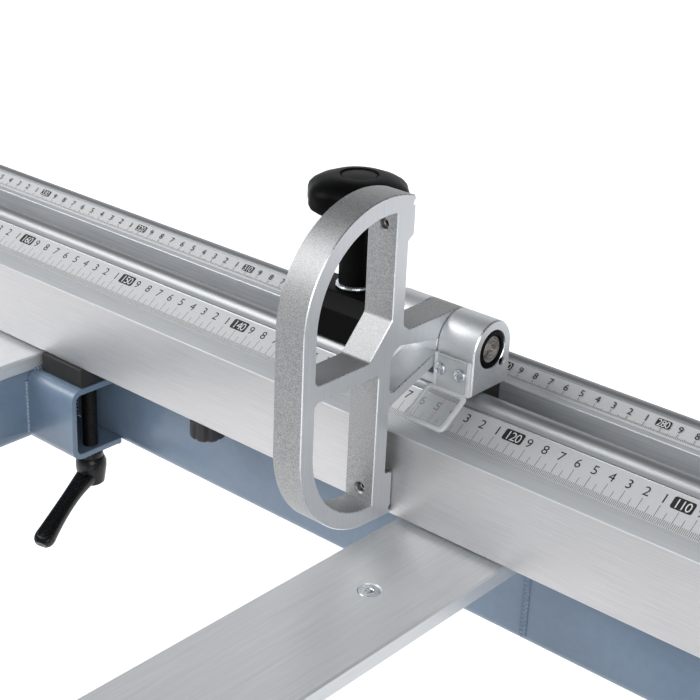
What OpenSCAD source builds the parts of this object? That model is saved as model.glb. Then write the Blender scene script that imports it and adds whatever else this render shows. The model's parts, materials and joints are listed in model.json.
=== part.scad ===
/* [Main table] */
// Height of the table top above the floor
table_h = 875; // [850:5:900]
// Reach of the cast table to the right of the blade
table_w = 560; // [500:10:640]
// Reach of the cast table in front of the blade axis
table_front = 420; // [400:10:440]
// Reach of the cast table behind the blade axis
table_rear = 620; // [560:10:680]
// Thickness of the cast table plate
table_plate = 12; // [10:1:14]
// Depth of the rim round the cast table
table_rim = 50; // [40:1:60]
// Reach of the extension table to the right of the blade
wing_reach = 1350; // [1200:10:1380]

/* [Cabinet] */
// Reach of the cabinet to the left of the blade
cab_left = 370; // [365:1:400]
// Reach of the cabinet to the right of the blade
cab_right = 340; // [335:1:400]
// Depth of the cabinet from front to rear
cab_depth = 800; // [780:10:810]
// Height of the cabinet floor above the ground
cab_base = 110; // [80:5:130]
// Thickness of the cabinet sheet
cab_wall = 4; // [3:0.5:6]

/* [Saw unit] */
// Diameter of the main blade
blade_d = 315; // [250:5:315]
// Thickness of the main blade
blade_t = 3.2; // [2.8:0.1:3.6]
// Diameter of the arbor
arbor_d = 30; // [25.4:0.2:32]
// Height of the blade above the table at full rise
cut_h = 100; // [60:1:100]
// Travel of the rise slide
rise_travel = 110; // [80:5:110]
// Diameter of the scoring blade
scorer_d = 120; // [100:5:125]
// Diameter of the motor housing
motor_d = 150; // [130:2:156]
// Diameter of the handwheels
wheel_d = 140; // [110:5:160]

/* [Sliding table] */
// Length of the sliding table
slide_len = 3200; // [2900:50:3400]
// Width of the sliding table
slide_w = 375; // [370:5:400]
// Height of the sliding table section
slide_h = 90; // [80:1:95]
// Gap between the sliding table and the blade plane
slide_gap = 12; // [10:0.5:16]
// Length of the fixed beam
beam_len = 2900; // [2700:50:3000]
// Width of the fixed beam
beam_w = 135; // [120:5:145]
// Height of the roller cage between beam and table
cage_h = 10; // [8:0.5:12]
// Length of the roller cage
cage_len = 1400; // [1280:60:1400]
// Travel of the sliding table each way
slide_travel = 1300; // [1000:50:1300]

/* [Outrigger] */
// Height of the outrigger tubes
tube_h = 50; // [40:1:60]
// Wall of the outrigger tubes
tube_wall = 4; // [3:0.5:5]
// Width of the cross members
member_w = 70; // [60:1:72]
// Spacing of the cross members
member_pitch = 373; // [340:1:390]
// Blade plane to the centre line of the innermost cross member
member_at = 472; // [468:1:480]
// Length of the swinging arm's outer tube
arm_len = 635; // [600:5:640]
// Front end of the outrigger before the blade axis
out_front = 330; // [300:5:420]
// Rear end of the outrigger behind the blade axis
out_rear = 320; // [300:5:340]
// Width of the aluminium strips on the cross members
strip_w = 72; // [72:1:80]
// Thickness of the aluminium strips
strip_t = 10; // [6:0.5:12]

/* [Crosscut fence] */
// Reach of the fence from the blade
fence_out = 1900; // [1800:10:2000]
// Gap between the fence end and the blade
fence_in = 50; // [45:1:80]
// Height of the fence section's front face
face_h = 49; // [46:0.5:52]
// Width of the flat land above the face
land_w = 16.1; // [14:0.1:18]
// Slope of the front scale
scale_slope = 32.5; // [28:0.5:36]
// Width of the front scale strip
scale_w = 20.3; // [18:0.1:21]
// Thickness of the scale strips
scale_t = 0.8; // [0.6:0.1:1]
// Radius of the front bead
bead_r = 7; // [6.5:0.1:7.4]
// Width of the slot along the fence top
slot_w = 19.5; // [18:0.1:20]
// Depth of the undercut part of the slot
slot_deep = 12; // [10:0.5:13]
// Slope of the rear scale
rear_slope = 35; // [30:0.5:38]
// Width of the rear scale strip
rear_scale_w = 11.1; // [10:0.1:12]
// Radius of the rear bead
rear_bead_r = 6; // [5.5:0.1:6.4]
// Travel of the telescopic extension
ext_travel = 1400; // [1000:50:1400]

/* [Flip stop] */
// Reading on the front scale below the stop's right face
stop_reading = 125.58; // [124:0.1:128]
// Width of the stop plate along the fence
plate_len = 19; // [16:0.5:22]
// Thickness of the stop plate's bars
bar_t = 9.6; // [8:0.1:11]
// Radius of the hinge barrels
barrel_r = 16.3; // [15:0.1:17]
// Diameter of the hinge shaft
shaft_d = 15; // [12:0.5:16]
// Outer diameter of the hinge bushes
bush_d = 21; // [19:0.5:22]
// Diameter of the clamping knob
knob_d = 60; // [56:1:70]
// Width of the right hinge block
block_w = 24.5; // [22:0.5:28]

/* [Rip fence] */
// Diameter of the round rail
rail_d = 45; // [40:1:50]
// Length by which the round rail passes the extension table
rail_over = 50; // [40:5:100]
// Length of the rip fence
rip_len = 1000; // [900:10:1040]
// Height of the rip fence
rip_h = 120; // [100:5:140]
// Distance of the rip fence face from the blade at rest
rip_at = 300; // [250:5:400]

/* [Fits] */
// Radial clearance of running fits
run_c = 0.05; // [0.02:0.01:0.08]
// Gap between parts that pass or rest near each other
part_gap = 0.3; // [0.2:0.05:0.4]

/* [Hidden] */
$fn = 48;

// Colours as the photograph shows them, and plain machine colours elsewhere
alloy = [0.78, 0.80, 0.82];
bright = [0.88, 0.89, 0.90];
frame_blue = [0.50, 0.57, 0.66];
body_grey = [0.82, 0.84, 0.86];
iron = [0.55, 0.56, 0.58];
black = [0.08, 0.08, 0.09];
steel = [0.62, 0.63, 0.65];

// The fence side and the rail side reach equally far from the origin
ext_block = 40;
rail_reach = wing_reach + rail_over;
blade_x = (fence_out + ext_block - rail_reach) / 2;

// Levels are measured from the table top, which is zero here
cab_low = cab_base - table_h;
beam_top = -slide_h - cage_h;
beam_h = 150;
cab_step = beam_top - beam_h;
beam_right = -240;
beam_left = beam_right - beam_w;
cab_front = -cab_depth / 2;
cab_back = cab_depth / 2;
step_x = beam_right + 8;
slide_left = -slide_gap - slide_w;

// Saw unit, drawn upright with the tilt axis at the origin
blade_r = blade_d / 2;
arbor_z = cut_h - blade_r;
arbor_r = arbor_d / 2;
scorer_r = scorer_d / 2;
scorer_y = -blade_r - scorer_r - 14;
scorer_z = 2 - scorer_r;
scorer_arbor_r = 8;
slot_front = scorer_y - scorer_r - 22;
slot_rear = blade_r + 125;
plate_y = 340;
plate_in = 12;
post_x = 150;
post_y = 210;
post_r = 16;
motor_z = -300;
motor_y = 0;
pulley_x0 = 114;
pulley_x1 = 134;
arbor_pulley_r = 35;
motor_pulley_r = 50;
tongue_r = 190;
tongue_w = 8;
gear_m = 3;
sector_n = 180;
pinion_n = 12;
sector_r = gear_m * sector_n / 2;
pinion_r = gear_m * pinion_n / 2;
mesh_a = -80;
pinion_x = (sector_r + pinion_r) * cos(mesh_a);
pinion_z = (sector_r + pinion_r) * sin(mesh_a);
rise_wheel_x = pinion_x + 200;
wheel_shaft_r = 9;

// Outrigger levels and places
strip_top = -1;
tube_top = strip_top - strip_t;
tube_low = tube_top - tube_h;
members = [for (i = [3 : -1 : 0]) -member_at - i * member_pitch];
clamped = [members[0], members[2]];
bracket_len = 46;
bracket_w = 41;
rail_off = 1;

// Fence section: the scale's tag line is the origin of the fence's own Y and Z
tag_reading = 1300;
tag_at = 14.9;
fence_gap = 3;
scale_lo_y = -tag_at * cos(scale_slope);
scale_lo_z = -tag_at * sin(scale_slope);
scale_hi_y = (scale_w - tag_at) * cos(scale_slope);
scale_hi_z = (scale_w - tag_at) * sin(scale_slope);
face_y = scale_lo_y - land_w;
fence_low = scale_lo_z - face_h;
bead_y = scale_hi_y + bead_r + 0.6;
bead_z = scale_hi_z;
bead_top = bead_z + bead_r;
slot_y0 = bead_y + bead_r;
slot_y1 = slot_y0 + slot_w;
slot_mid = (slot_y0 + slot_y1) / 2;
slot_lip = -10;
slot_side = 5.5;
slot_floor = slot_lip - slot_deep;
rear_lip_z = 7.1;
rear_lo_y = slot_y1 + 4.7;
rear_hi_y = rear_lo_y + rear_scale_w * cos(rear_slope);
rear_hi_z = rear_lip_z + rear_scale_w * sin(rear_slope);
rear_bead_y = rear_hi_y + rear_bead_r - 0.7;
rear_bead_z = rear_hi_z - 4.6;
rear_y = rear_bead_y + rear_bead_r;
foot_slot_y = face_y + 9.5;
foot_mouth = 10.5;
foot_head = 15;
foot_lip = 5;
foot_deep = 7;
cave_y0 = foot_slot_y + 14;
cave_y1 = rear_y - 6;
cave_z0 = fence_low + 6;
cave_z1 = slot_floor - 5;
scale_y = 150;
scale_z = strip_top + fence_gap - fence_low;
stud_r = 5;
lever_z = fence_low - fence_gap - strip_t - tube_h;

// Flip stop, in the fence's own frame
stop_x = tag_reading - stop_reading * 10;
plate_x0 = stop_x - plate_len;
block_x0 = stop_x + part_gap;
block_x1 = block_x0 + block_w;
base_z0 = bead_top + 0.4;
axis_y = 19.4;
axis_z = base_z0 + 6 + part_gap + barrel_r + 0.4;
clamp_x0 = -65;
clamp_x1 = -8;
clamp_mid = (clamp_x0 + clamp_x1) / 2;
clamp_top = 36;
left_barrel = 20;
window_r = 56.3;
foot_arc_y = -46;
head_arc_y = -42.3;
head_r = head_arc_y - foot_arc_y + window_r;

// Rear door and dust outlet
door_w = 420;
door_h = 300;
door_z0 = cab_low + 160;
door_lap = 15;
hinge_x = door_w / 2 + door_lap;
hinge_barrel_r = 5;
hinge_pin_r = 2.5;
hinge_y = cab_back + part_gap + hinge_barrel_r;
barrel_h = 40;
hinge_levels = [door_z0 + 40, door_z0 + door_h - 80];
dust_r = 60;
dust_z = cab_low + 80;
cable_x = -280;
cable_r = 10.2;

// Rip rail, control panel and their places on the front
rail_y = -table_front - 80;
rail_z = -46;
rail_post_z = rail_z + 15;
rail_post_r = 8;
rip_t = 45;
panel_x0 = 70;
panel_x1 = 320;
panel_y = cab_front - 50;
panel_z0 = -205;
panel_z1 = -110;
button_z = (panel_z0 + panel_z1) / 2;
button_r = 13;
function button_x(i) = panel_x0 + 40 + 60 * i;

// Blade guard on its arm behind the table
guard_y = table_rear + 30;
guard_z = 200;
hood_x0 = -30;
hood_x1 = 98;
hood_y0 = -blade_r - 50;
hood_y1 = blade_r + 80;
hood_z0 = 25;
hood_z1 = 150;

// Sliding table fittings
handle_y = -slide_len / 2 + 60;
lock_y = -slide_len / 2 + 250;

// Support roller at the outrigger's front and the arm below it
roller_y = -out_front - 36;
roller_z = strip_top - 24;
arm_x = -cab_left - 45;
arm_y = -out_front + 25;
arm_z = -515;
post_at = -1300;
knob_stud_r = 5;
foot_knob_x = -107;
cursor_x = [block_x0 + 5.5, block_x0 + 18.5];
cursor_z = 22.2;
lens_y = axis_y - barrel_r;
lens_z = 10;
lens_t = 2.5;
arm_low = 42;
waist_z = 40;
waist_y = -52.8;
screw_r = 2.75;
ring_y0 = foot_arc_y - window_r;
fence_x0 = tag_reading - fence_out;
fence_x1 = tag_reading - fence_in;
scale_sink = scale_t * [sin(scale_slope), -cos(scale_slope)];
rear_sink = scale_t * [sin(rear_slope), -cos(rear_slope)];
lever_hub_y = rail_y - 42;
lever_hub_z = -16;
knife_t = 2.5;
pad_y = face_y - part_gap;
bar_y = pad_y - 5.8;
top_bar_y = pad_y + 2.8;
function stud_at(x) = x + member_w / 2 + bracket_len - 8;

module box(x0, x1, y0, y1, z0, z1)
    translate([x0, y0, z0]) cube([x1 - x0, y1 - y0, z1 - z0]);

module rod_x(x0, x1, y, z, r)
    translate([x0, y, z]) rotate([0, 90, 0]) cylinder(h = x1 - x0, r = r);

module rod_y(y0, y1, x, z, r)
    translate([x, y0, z]) rotate([-90, 0, 0]) cylinder(h = y1 - y0, r = r);

module rod_z(z0, z1, x, y, r)
    translate([x, y, z0]) cylinder(h = z1 - z0, r = r);

// Extrudes a drawing of Y and Z along X
module along_x(x0, x1)
    translate([x0, 0, 0]) rotate([90, 0, 90]) linear_extrude(height = x1 - x0) children();

// Extrudes a drawing of X and Z along Y
module along_y(y0, y1)
    translate([0, y1, 0]) rotate([90, 0, 0]) linear_extrude(height = y1 - y0) children();

module at_fence()
    translate([-tag_reading, scale_y, scale_z]) children();

// Puts the blade plane and the table top where they belong above the floor
module placed()
    translate([blade_x, 0, table_h]) children();

// A curved bar about the Y axis, between two angles seen from the front
module ring_y(r0, r1, a0, a1, y0, y1)
    translate([0, y1, 0]) rotate([90, 0, 0]) rotate([0, 0, a0])
        rotate_extrude(angle = a1 - a0) translate([r0, 0]) square([r1 - r0, y1 - y0]);

// Points along an arc in a drawing of Y and Z
function arc(y, z, r, a0, a1, steps = 16) =
    [for (i = [0 : steps]) let (a = a0 + (a1 - a0) * i / steps) [y + r * cos(a), z + r * sin(a)]];

// Straight-flanked teeth on a pitch circle, as points in turning order
function tooth(r, m) =
    let (tip = r + 0.8 * m, root = r - 1.1 * m, half = 0.64 * m, flank = tan(20))
    [
        [root, -(half + 1.1 * m * flank)], [tip, -(half - 0.8 * m * flank)],
        [tip, half - 0.8 * m * flank], [root, half + 1.1 * m * flank]
    ];
function turned(points, a) =
    [for (p = points) [p[0] * cos(a) - p[1] * sin(a), p[0] * sin(a) + p[1] * cos(a)]];
function teeth(r, m, n, a0, a1) =
    [for (a = [a0 : 360 / n : a1]) for (p = turned(tooth(r, m), a)) p];

// Welded sheet cabinet: a wide lower box and a narrower upper box that is open towards the blade
module cabinet() color(body_grey) {
    door_hinges();
    difference() {
        union() {
            box(-cab_left, cab_right, cab_front, cab_back, cab_low, cab_step);
            box(step_x, cab_right, cab_front, cab_back, cab_step - 1, -table_rim);
        }
        box(-cab_left + cab_wall, cab_right - cab_wall, cab_front + cab_wall, cab_back - cab_wall,
            cab_low + cab_wall, cab_step - cab_wall);
        box(step_x - 1, cab_right - cab_wall, cab_front + cab_wall, cab_back - cab_wall,
            cab_step - cab_wall - 1, 1);
        for (x = [pinion_x, rise_wheel_x])
            rod_y(cab_front - 1, cab_front + cab_wall + 1, x, pinion_z, wheel_shaft_r + run_c);
        box(-door_w / 2, door_w / 2, cab_back - cab_wall - 1, cab_back + 1, door_z0, door_z0 + door_h);
        rod_y(cab_back - cab_wall - 1, cab_back + 1, 0, dust_z, dust_r);
        rod_y(cab_back - cab_wall - 1, cab_back + 1, cable_x, dust_z, cable_r);
    }
}

// Hinge pins on the cabinet's rear, each held by an ear above and below the door's barrel
module door_hinges()
    for (z = hinge_levels) {
        rod_z(z - 8, z + barrel_h + 8, hinge_x, hinge_y, hinge_pin_r);
        for (ear_z = [z - 8, z + barrel_h + part_gap])
            box(hinge_x - 5, hinge_x + 5, cab_back - 1, hinge_y + 5, ear_z, ear_z + 8 - part_gap);
    }

// Door over the opening in the cabinet's rear, with its two hinge barrels
module rear_door() color(body_grey)
    difference() {
        union() {
            box(-door_w / 2 - door_lap, hinge_x, cab_back + part_gap, cab_back + part_gap + 3,
                door_z0 - door_lap, door_z0 + door_h + door_lap);
            for (z = hinge_levels)
                rod_z(z, z + barrel_h, hinge_x, hinge_y, hinge_barrel_r);
        }
        for (z = hinge_levels) {
            rod_z(z - 1, z + barrel_h + 1, hinge_x, hinge_y, hinge_pin_r + run_c);
            for (ear_z = [z - 9, z + barrel_h])
                box(hinge_x - 8, hinge_x + 8, cab_back, hinge_y + 6, ear_z, ear_z + 9);
        }
    }

module leveling_feet() color(black)
    for (x = [-cab_left + 50, cab_right - 50], y = [cab_front + 50, cab_back - 50]) {
        rod_z(-table_h, -table_h + 18, x, y, 36);
        rod_z(-table_h + 18, cab_low, x, y, 10);
    }

module main_table() color(iron)
    difference() {
        box(-9, table_w, -table_front, table_rear, -table_rim, 0);
        difference() {
            box(3, table_w - 12, -table_front + 12, table_rear - 12, -table_rim - 1, -table_plate);
            for (y = [cab_front, cab_back - 12])
                box(0, table_w, y, y + 12, -table_rim - 2, 0);
            box(cab_right - 12, cab_right, -table_front, table_rear, -table_rim - 2, 0);
        }
        box(-10, 50, slot_front, slot_rear, -table_rim - 1, 1);
        box(-10, 60, slot_front - 15, slot_rear + 15, -6, 1);
    }

module table_insert() color(alloy)
    difference() {
        box(6, 60 - part_gap, slot_front - 15 + part_gap, slot_rear + 15 - part_gap, -6, 0);
        for (y = [slot_front - 7, slot_rear + 7])
            rod_z(-7, 1, 52, y, 2.5);
    }

module extension_table() color(iron)
    difference() {
        box(table_w, wing_reach, -table_front, cab_back, -40, 0);
        box(table_w + 3, wing_reach - 3, -table_front + 3, cab_back - 3, -41, -3);
    }

module slide_beam() color(body_grey)
    difference() {
        box(beam_left, beam_right, -beam_len / 2, beam_len / 2, cab_step, beam_top);
        box(beam_left + 6, beam_right - 6, -beam_len / 2 - 1, beam_len / 2 + 1, cab_step + 6, beam_top - 6);
    }

// Round rail with the four posts that hold it off the tables
module rip_rail() color(steel)
    union() {
        rod_x(20, rail_reach, rail_y, rail_z, rail_d / 2);
        for (x = [40, cab_right, table_w + 380, wing_reach - 20])
            rod_y(rail_y, -table_front, x, rail_post_z, rail_post_r);
    }

module control_panel() color(black)
    difference() {
        box(panel_x0, panel_x1, panel_y, cab_front, panel_z0, panel_z1);
        for (i = [0 : 1])
            rod_y(panel_y - 1, panel_y + 14, button_x(i), button_z, button_r + part_gap);
        rod_y(panel_y - 1, panel_y + 14, button_x(2.4), button_z, 8 + part_gap);
    }

module push_button(i, tint) color(tint)
    rod_y(panel_y - 6, panel_y + 6, button_x(i), button_z, button_r);

module start_button() push_button(0, "green");
module stop_button() push_button(1, "red");

module emergency_stop() color("red") {
    rod_y(panel_y - 10, panel_y + 6, button_x(2.4), button_z, 8);
    rod_y(panel_y - 26, panel_y - 10, button_x(2.4), button_z, 20);
}

// Curved guides that hang under the table and carry the tilting unit by its tongues
module trunnion_guides() color(iron)
    for (side = [-1, 1])
        mirror([0, side < 0 ? 1 : 0, 0]) difference() {
            union() {
                ring_y(tongue_r - 14, tongue_r + 14, -133, -57, plate_y + part_gap, plate_y + 14);
                box(60, 110, plate_y + part_gap, plate_y + 14, -180, -table_plate);
                box(60, 110, plate_y + part_gap, cab_back - 12, -48, -table_plate);
            }
            ring_y(tongue_r - tongue_w / 2 - run_c, tongue_r + tongue_w / 2 + run_c, -140, -50,
                plate_y - 1, plate_y + 7);
        }

module handwheel(x, y1)
    translate([x, cab_front - 45, pinion_z]) rotate([-90, 0, 0]) {
        rotate_extrude() translate([wheel_d / 2 - 9, 9]) circle(r = 9, $fn = 24);
        cylinder(h = 45 - part_gap, r = 20);
        for (a = [0, 120, 240])
            rotate([0, 0, a]) translate([0, -8, 4]) cube([wheel_d / 2 - 10, 16, 10]);
        rotate([0, 0, 60]) translate([wheel_d / 2 - 9, 0, -60]) cylinder(h = 66, r = 9);
        cylinder(h = y1 - cab_front + 45, r = wheel_shaft_r);
    }

module tilt_handwheel() color(black)
    union() {
        handwheel(pinion_x, -plate_y - part_gap);
        translate([pinion_x, -plate_y - part_gap, pinion_z]) rotate([90, 0, 0])
            linear_extrude(height = plate_in) polygon(teeth(pinion_r, gear_m, pinion_n,
                mesh_a + 180, mesh_a + 180 + 359 - 360 / pinion_n));
    }

module rise_handwheel() color(black)
    handwheel(rise_wheel_x, cab_front + 40);

// Side plate of the tilting unit, notched where it passes the cabinet's step at full tilt
module carriage_plate()
    polygon([
        [16, -60], [235, -60], [235, -150], [120, -450], [8, -450],
        [8, -362], [22, -342], [8, -322], [8, -150]
    ]);

// Tilting unit: two plates with tongues, tie bars, the rise posts and the scorer's housing
module tilt_carriage() color(iron)
    difference() {
        union() {
            for (side = [-1, 1])
                mirror([0, side < 0 ? 1 : 0, 0]) {
                    along_y(plate_y - plate_in, plate_y) carriage_plate();
                    ring_y(tongue_r - tongue_w / 2, tongue_r + tongue_w / 2, -84, -62,
                        plate_y - 1, plate_y + 6);
                    rod_z(-440, -62, post_x, post_y, post_r);
                    for (z = [-90, -440])
                        box(post_x - 20, post_x + 20, post_y - 20, plate_y - 1, z, z + 28);
                }
            along_y(-plate_y - plate_in, -plate_y + 1) polygon(concat(
                teeth(sector_r, gear_m, sector_n, mesh_a - 3, mesh_a + 47),
                arc(0, 0, sector_r - 40, mesh_a + 48, mesh_a - 4, 26)
            ));
            box(205, 233, -plate_y + 1, plate_y - 1, -80, -62);
            box(20, 60, -plate_y + 1, plate_y - 1, -446, -428);
            rod_x(6, 44, scorer_y, scorer_z, 18);
            box(22, 44, -plate_y + 1, scorer_y, scorer_z - 14, scorer_z - 2);
        }
        rod_x(0, 50, scorer_y, scorer_z, scorer_arbor_r + run_c);
    }

module rise_slide() color(iron)
    difference() {
        union() {
            rod_x(16, 108, 0, arbor_z, 38);
            box(60, 108, -105, 105, arbor_z - 44, arbor_z - 20);
            for (s = [-1, 1]) {
                box(60, 150, 90 * s - 15, 90 * s + 15, -230, arbor_z - 20);
                rod_z(-230, -120, post_x, post_y * s, post_r + 10);
            }
            box(138, 162, -post_y + post_r + 3, post_y - post_r - 3, -230, -170);
            box(138, 148, -105, 105, -390, -170);
            box(60, 108, 100, 196, -200, -176);
            box(knife_t / 2, 108, 168, 196, -200, -176);
        }
        for (s = [-1, 1])
            rod_z(-240, -110, post_x, post_y * s, post_r + run_c);
        rod_x(15, 109, 0, arbor_z, arbor_r + run_c);
        rod_x(130, 170, motor_y, motor_z, 20);
        box(137, 163, -70, 70, -250, -169);
    }

module motor() color(frame_blue)
    difference() {
        union() {
            rod_x(148, 318, motor_y, motor_z, motor_d / 2);
            for (x = [170 : 14 : 268])
                rod_x(x, x + 6, motor_y, motor_z, motor_d / 2 + 5);
            box(190, 260, motor_y - 35, motor_y + 35, motor_z, motor_z + motor_d / 2 + 24);
        }
        rod_x(147, 200, motor_y, motor_z, 12 + run_c);
    }

module motor_pulley() color(steel)
    union() {
        rod_x(pulley_x0, pulley_x1, motor_y, motor_z, motor_pulley_r);
        rod_x(pulley_x0, 190, motor_y, motor_z, 12);
    }

module belt_line(grow)
    hull() {
        translate([0, arbor_z]) circle(r = arbor_pulley_r + grow, $fn = 48);
        translate([motor_y, motor_z]) circle(r = motor_pulley_r + grow, $fn = 48);
    }

module drive_belt() color(black)
    along_x(pulley_x0 + 2, pulley_x1 - 2) difference() {
        belt_line(4);
        belt_line(0.4);
    }

module arbor() color(steel)
    union() {
        rod_x(-16, pulley_x1, 0, arbor_z, arbor_r);
        rod_x(pulley_x0, pulley_x1, 0, arbor_z, arbor_pulley_r);
    }

// Toothed disc whose gullets are cut between straight rakes
module blade_disc(r, teeth_n, bore, thick)
    rotate([0, 90, 0]) translate([0, 0, -thick / 2]) linear_extrude(height = thick)
        difference() {
            polygon([for (i = [0 : teeth_n - 1], s = [0, 1])
                let (a = (i + s * 0.75) * 360 / teeth_n, rr = s == 0 ? r : r - 7) rr * [cos(a), sin(a)]]);
            circle(r = bore);
        }

module saw_blade() color(bright)
    translate([0, 0, arbor_z]) blade_disc(blade_r, 48, arbor_r + run_c, blade_t);

module blade_flanges() color(steel)
    difference() {
        union() {
            rod_x(blade_t / 2, 14, 0, arbor_z, 45);
            rod_x(-8, -blade_t / 2, 0, arbor_z, 28);
            rod_x(-15, -8, 0, arbor_z, 18.5, $fn = 6);
        }
        rod_x(-20, 20, 0, arbor_z, arbor_r + run_c);
    }

module scoring_blade() color(bright)
    union() {
        translate([0, scorer_y, scorer_z]) blade_disc(scorer_r, 24, 2, blade_t);
        rod_x(-8, 52, scorer_y, scorer_z, scorer_arbor_r);
        rod_x(-8, 4, scorer_y, scorer_z, 16);
        rod_x(44 + part_gap, 56, scorer_y, scorer_z, 20);
    }

// Curved knife that follows the rear of the blade and drops to its holder
module riving_knife() color(steel)
    along_x(-knife_t / 2, knife_t / 2) translate([0, arbor_z]) union() {
        intersection() {
            difference() {
                circle(r = blade_r + 34, $fn = 96);
                circle(r = blade_r + 5, $fn = 96);
            }
            polygon([[0, 0], [400, 0], [400, 260], [180, 320]]);
        }
        translate([blade_r + 5, -204 - arbor_z]) square([29, 206 + arbor_z]);
    }

module guard_post() color(body_grey)
    difference() {
        union() {
            box(200, 262, table_rear, table_rear + 60, -table_rim, -6);
            rod_z(-6, guard_z - 20, 231, guard_y, 22);
            box(209, 253, guard_y - 22, guard_y + 22, guard_z - 30, guard_z + 22);
        }
        rod_x(199, 263, guard_y, guard_z, 12 + run_c);
    }

module guard_arm() color(body_grey)
    union() {
        rod_x(30, 209 - part_gap, guard_y, guard_z, 20);
        rod_x(190, 262, guard_y, guard_z, 12);
        rod_y(40, guard_y, 32, guard_z, 20);
        rod_z(hood_z1, guard_z, 32, 40, 20);
    }

module guard_hood() color(black)
    difference() {
        box(hood_x0, hood_x1, hood_y0, hood_y1, hood_z0, hood_z1);
        box(hood_x0 + 3, hood_x1 - 3, hood_y0 + 3, hood_y1 - 3, hood_z0 - 1, hood_z1 - 3);
    }

// Aluminium section with a thin undercut edge towards the blade and a slot in its top
module sliding_table() color(alloy)
    along_y(-slide_len / 2, slide_len / 2) difference() {
        polygon([
            [-slide_gap, 0], [-slide_gap, -3], [-90, -38], [beam_right + 5, -38],
            [beam_right + 5, -slide_h], [slide_left, -slide_h], [slide_left, 0]
        ]);
        translate([-307, -9]) square([14, 10]);
        translate([-313, -17]) square([26, 8.5]);
        translate([slide_left + 8, -slide_h + 10]) square([62, 54]);
        translate([-300, -slide_h + 10]) square([beam_right + 293, 54]);
    }

// Cage of rollers between beam and table
module roller_cage() color(steel)
    union() {
        box(beam_left + 35, beam_right - 35, -cage_len / 2, cage_len / 2,
            beam_top + cage_h / 2 - 2, beam_top + cage_h / 2 + 2);
        for (y = [-cage_len / 2 + 10 : 60 : cage_len / 2 - 10])
            rod_x(beam_left + 39, beam_right - 39, y, beam_top + cage_h / 2, cage_h / 2 - run_c);
    }

module push_handle() color(black)
    union() {
        box(-345, -205, handle_y - 20, handle_y + 20, 0, 10);
        for (x = [-335, -215])
            rod_z(9, 130, x, handle_y, 10);
        rod_x(-350, -200, handle_y, 130, 16);
    }

module table_lock() color(black)
    union() {
        rod_x(slide_left - 16, slide_left - part_gap, lock_y, -45, 16);
        box(slide_left - 14, slide_left - 4, lock_y, lock_y + 110, -53, -37);
        rod_x(slide_left - 34, slide_left - 4, lock_y + 110, -45, 12);
    }

// Welded frame: two rails, the cross members and the two stubs that the fence clamps to
module outrigger_frame() color(frame_blue)
    difference() {
        union() {
            for (y = [-out_front, scale_y + rail_off])
                box(members[0] - member_w / 2, slide_left, y, y + tube_h, tube_low, tube_top);
            for (x = members)
                box(x - member_w / 2, x + member_w / 2, -out_front, out_rear, tube_low, tube_top);
            for (x = clamped)
                box(x + member_w / 2 - 1, x + member_w / 2 + bracket_len, scale_y + rail_off - bracket_w,
                    scale_y + rail_off + 1, tube_low, tube_top);
            for (x = [members[0] - 12, members[3] - 12])
                box(x, x + 12, -out_front - 60, -out_front + 1, tube_low + 4, roller_z + 12);
        }
        for (y = [-out_front, scale_y + rail_off])
            box(members[0] + member_w / 2 - tube_wall, slide_left + 1, y + tube_wall, y + tube_h - tube_wall,
                tube_low + tube_wall, tube_top - tube_wall);
        for (x = members)
            box(x - member_w / 2 + tube_wall, x + member_w / 2 - tube_wall, -out_front - 1, out_rear + 1,
                tube_low + tube_wall, tube_top - tube_wall);
        for (x = clamped) {
            box(x + member_w / 2, x + member_w / 2 + bracket_len + 1,
                scale_y + rail_off - bracket_w + tube_wall, scale_y + rail_off - tube_wall,
                tube_low + tube_wall, tube_top - tube_wall);
            rod_z(tube_low - 1, tube_top + 1, stud_at(x), scale_y + foot_slot_y, stud_r + 0.5);
        }
        for (x = [members[0] - 12, members[3] - 12])
            rod_x(x - 1, x + 13, roller_y, roller_z, 8 + run_c);
    }

module outrigger_strips() color(alloy)
    for (x = members)
        box(x - strip_w / 2, x + strip_w / 2, -out_front, out_rear, tube_top, strip_top);

module support_roller() color(alloy)
    union() {
        rod_x(members[0] + part_gap, members[3] - 12 - part_gap, roller_y, roller_z, 24);
        rod_x(members[0] - 16, members[3] + 4, roller_y, roller_z, 8);
    }

module arm_pivot() color(body_grey) {
    for (z = [arm_z - 45, arm_z + 35 + part_gap])
        box(arm_x - 30, -cab_left, arm_y - 40, arm_y + 40, z, z + 10 - part_gap);
    rod_z(arm_z - 46, arm_z + 46, arm_x, arm_y, 12);
}

// Swinging arm: the outer tube and its hub
module swing_arm() color(frame_blue)
    difference() {
        union() {
            box(arm_x - arm_len, arm_x, arm_y - 35, arm_y + 35, arm_z - 35 + part_gap, arm_z + 35);
            rod_z(arm_z - 35 + part_gap, arm_z + 35, arm_x, arm_y, 35);
        }
        box(arm_x - arm_len - 1, arm_x - 60, arm_y - 31, arm_y + 31, arm_z - 31, arm_z + 31);
        rod_z(arm_z - 36, arm_z + 36, arm_x, arm_y, 12 + run_c);
    }

// Inner tube with the post that carries the outrigger
module arm_extension() color(frame_blue)
    difference() {
        union() {
            box(post_at - 40, arm_x - 300, arm_y - 31 + run_c, arm_y + 31 - run_c,
                arm_z - 31 + run_c, arm_z + 31 - run_c);
            box(post_at - 25, post_at + 25, arm_y - 25, arm_y + 25, arm_z + 30, tube_low - 20);
            rod_z(tube_low - 21, tube_low - part_gap, post_at, arm_y, 32);
        }
        box(post_at - 36, arm_x - 299, arm_y - 27, arm_y + 27, arm_z - 27, arm_z + 27);
    }

module scale_strip_front()
    translate([scale_lo_y, scale_lo_z]) rotate(scale_slope) translate([0, -scale_t])
        square([scale_w, scale_t]);

module scale_strip_rear()
    translate([rear_lo_y, rear_lip_z]) rotate(rear_slope) translate([0, -scale_t])
        square([rear_scale_w, scale_t]);

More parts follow.
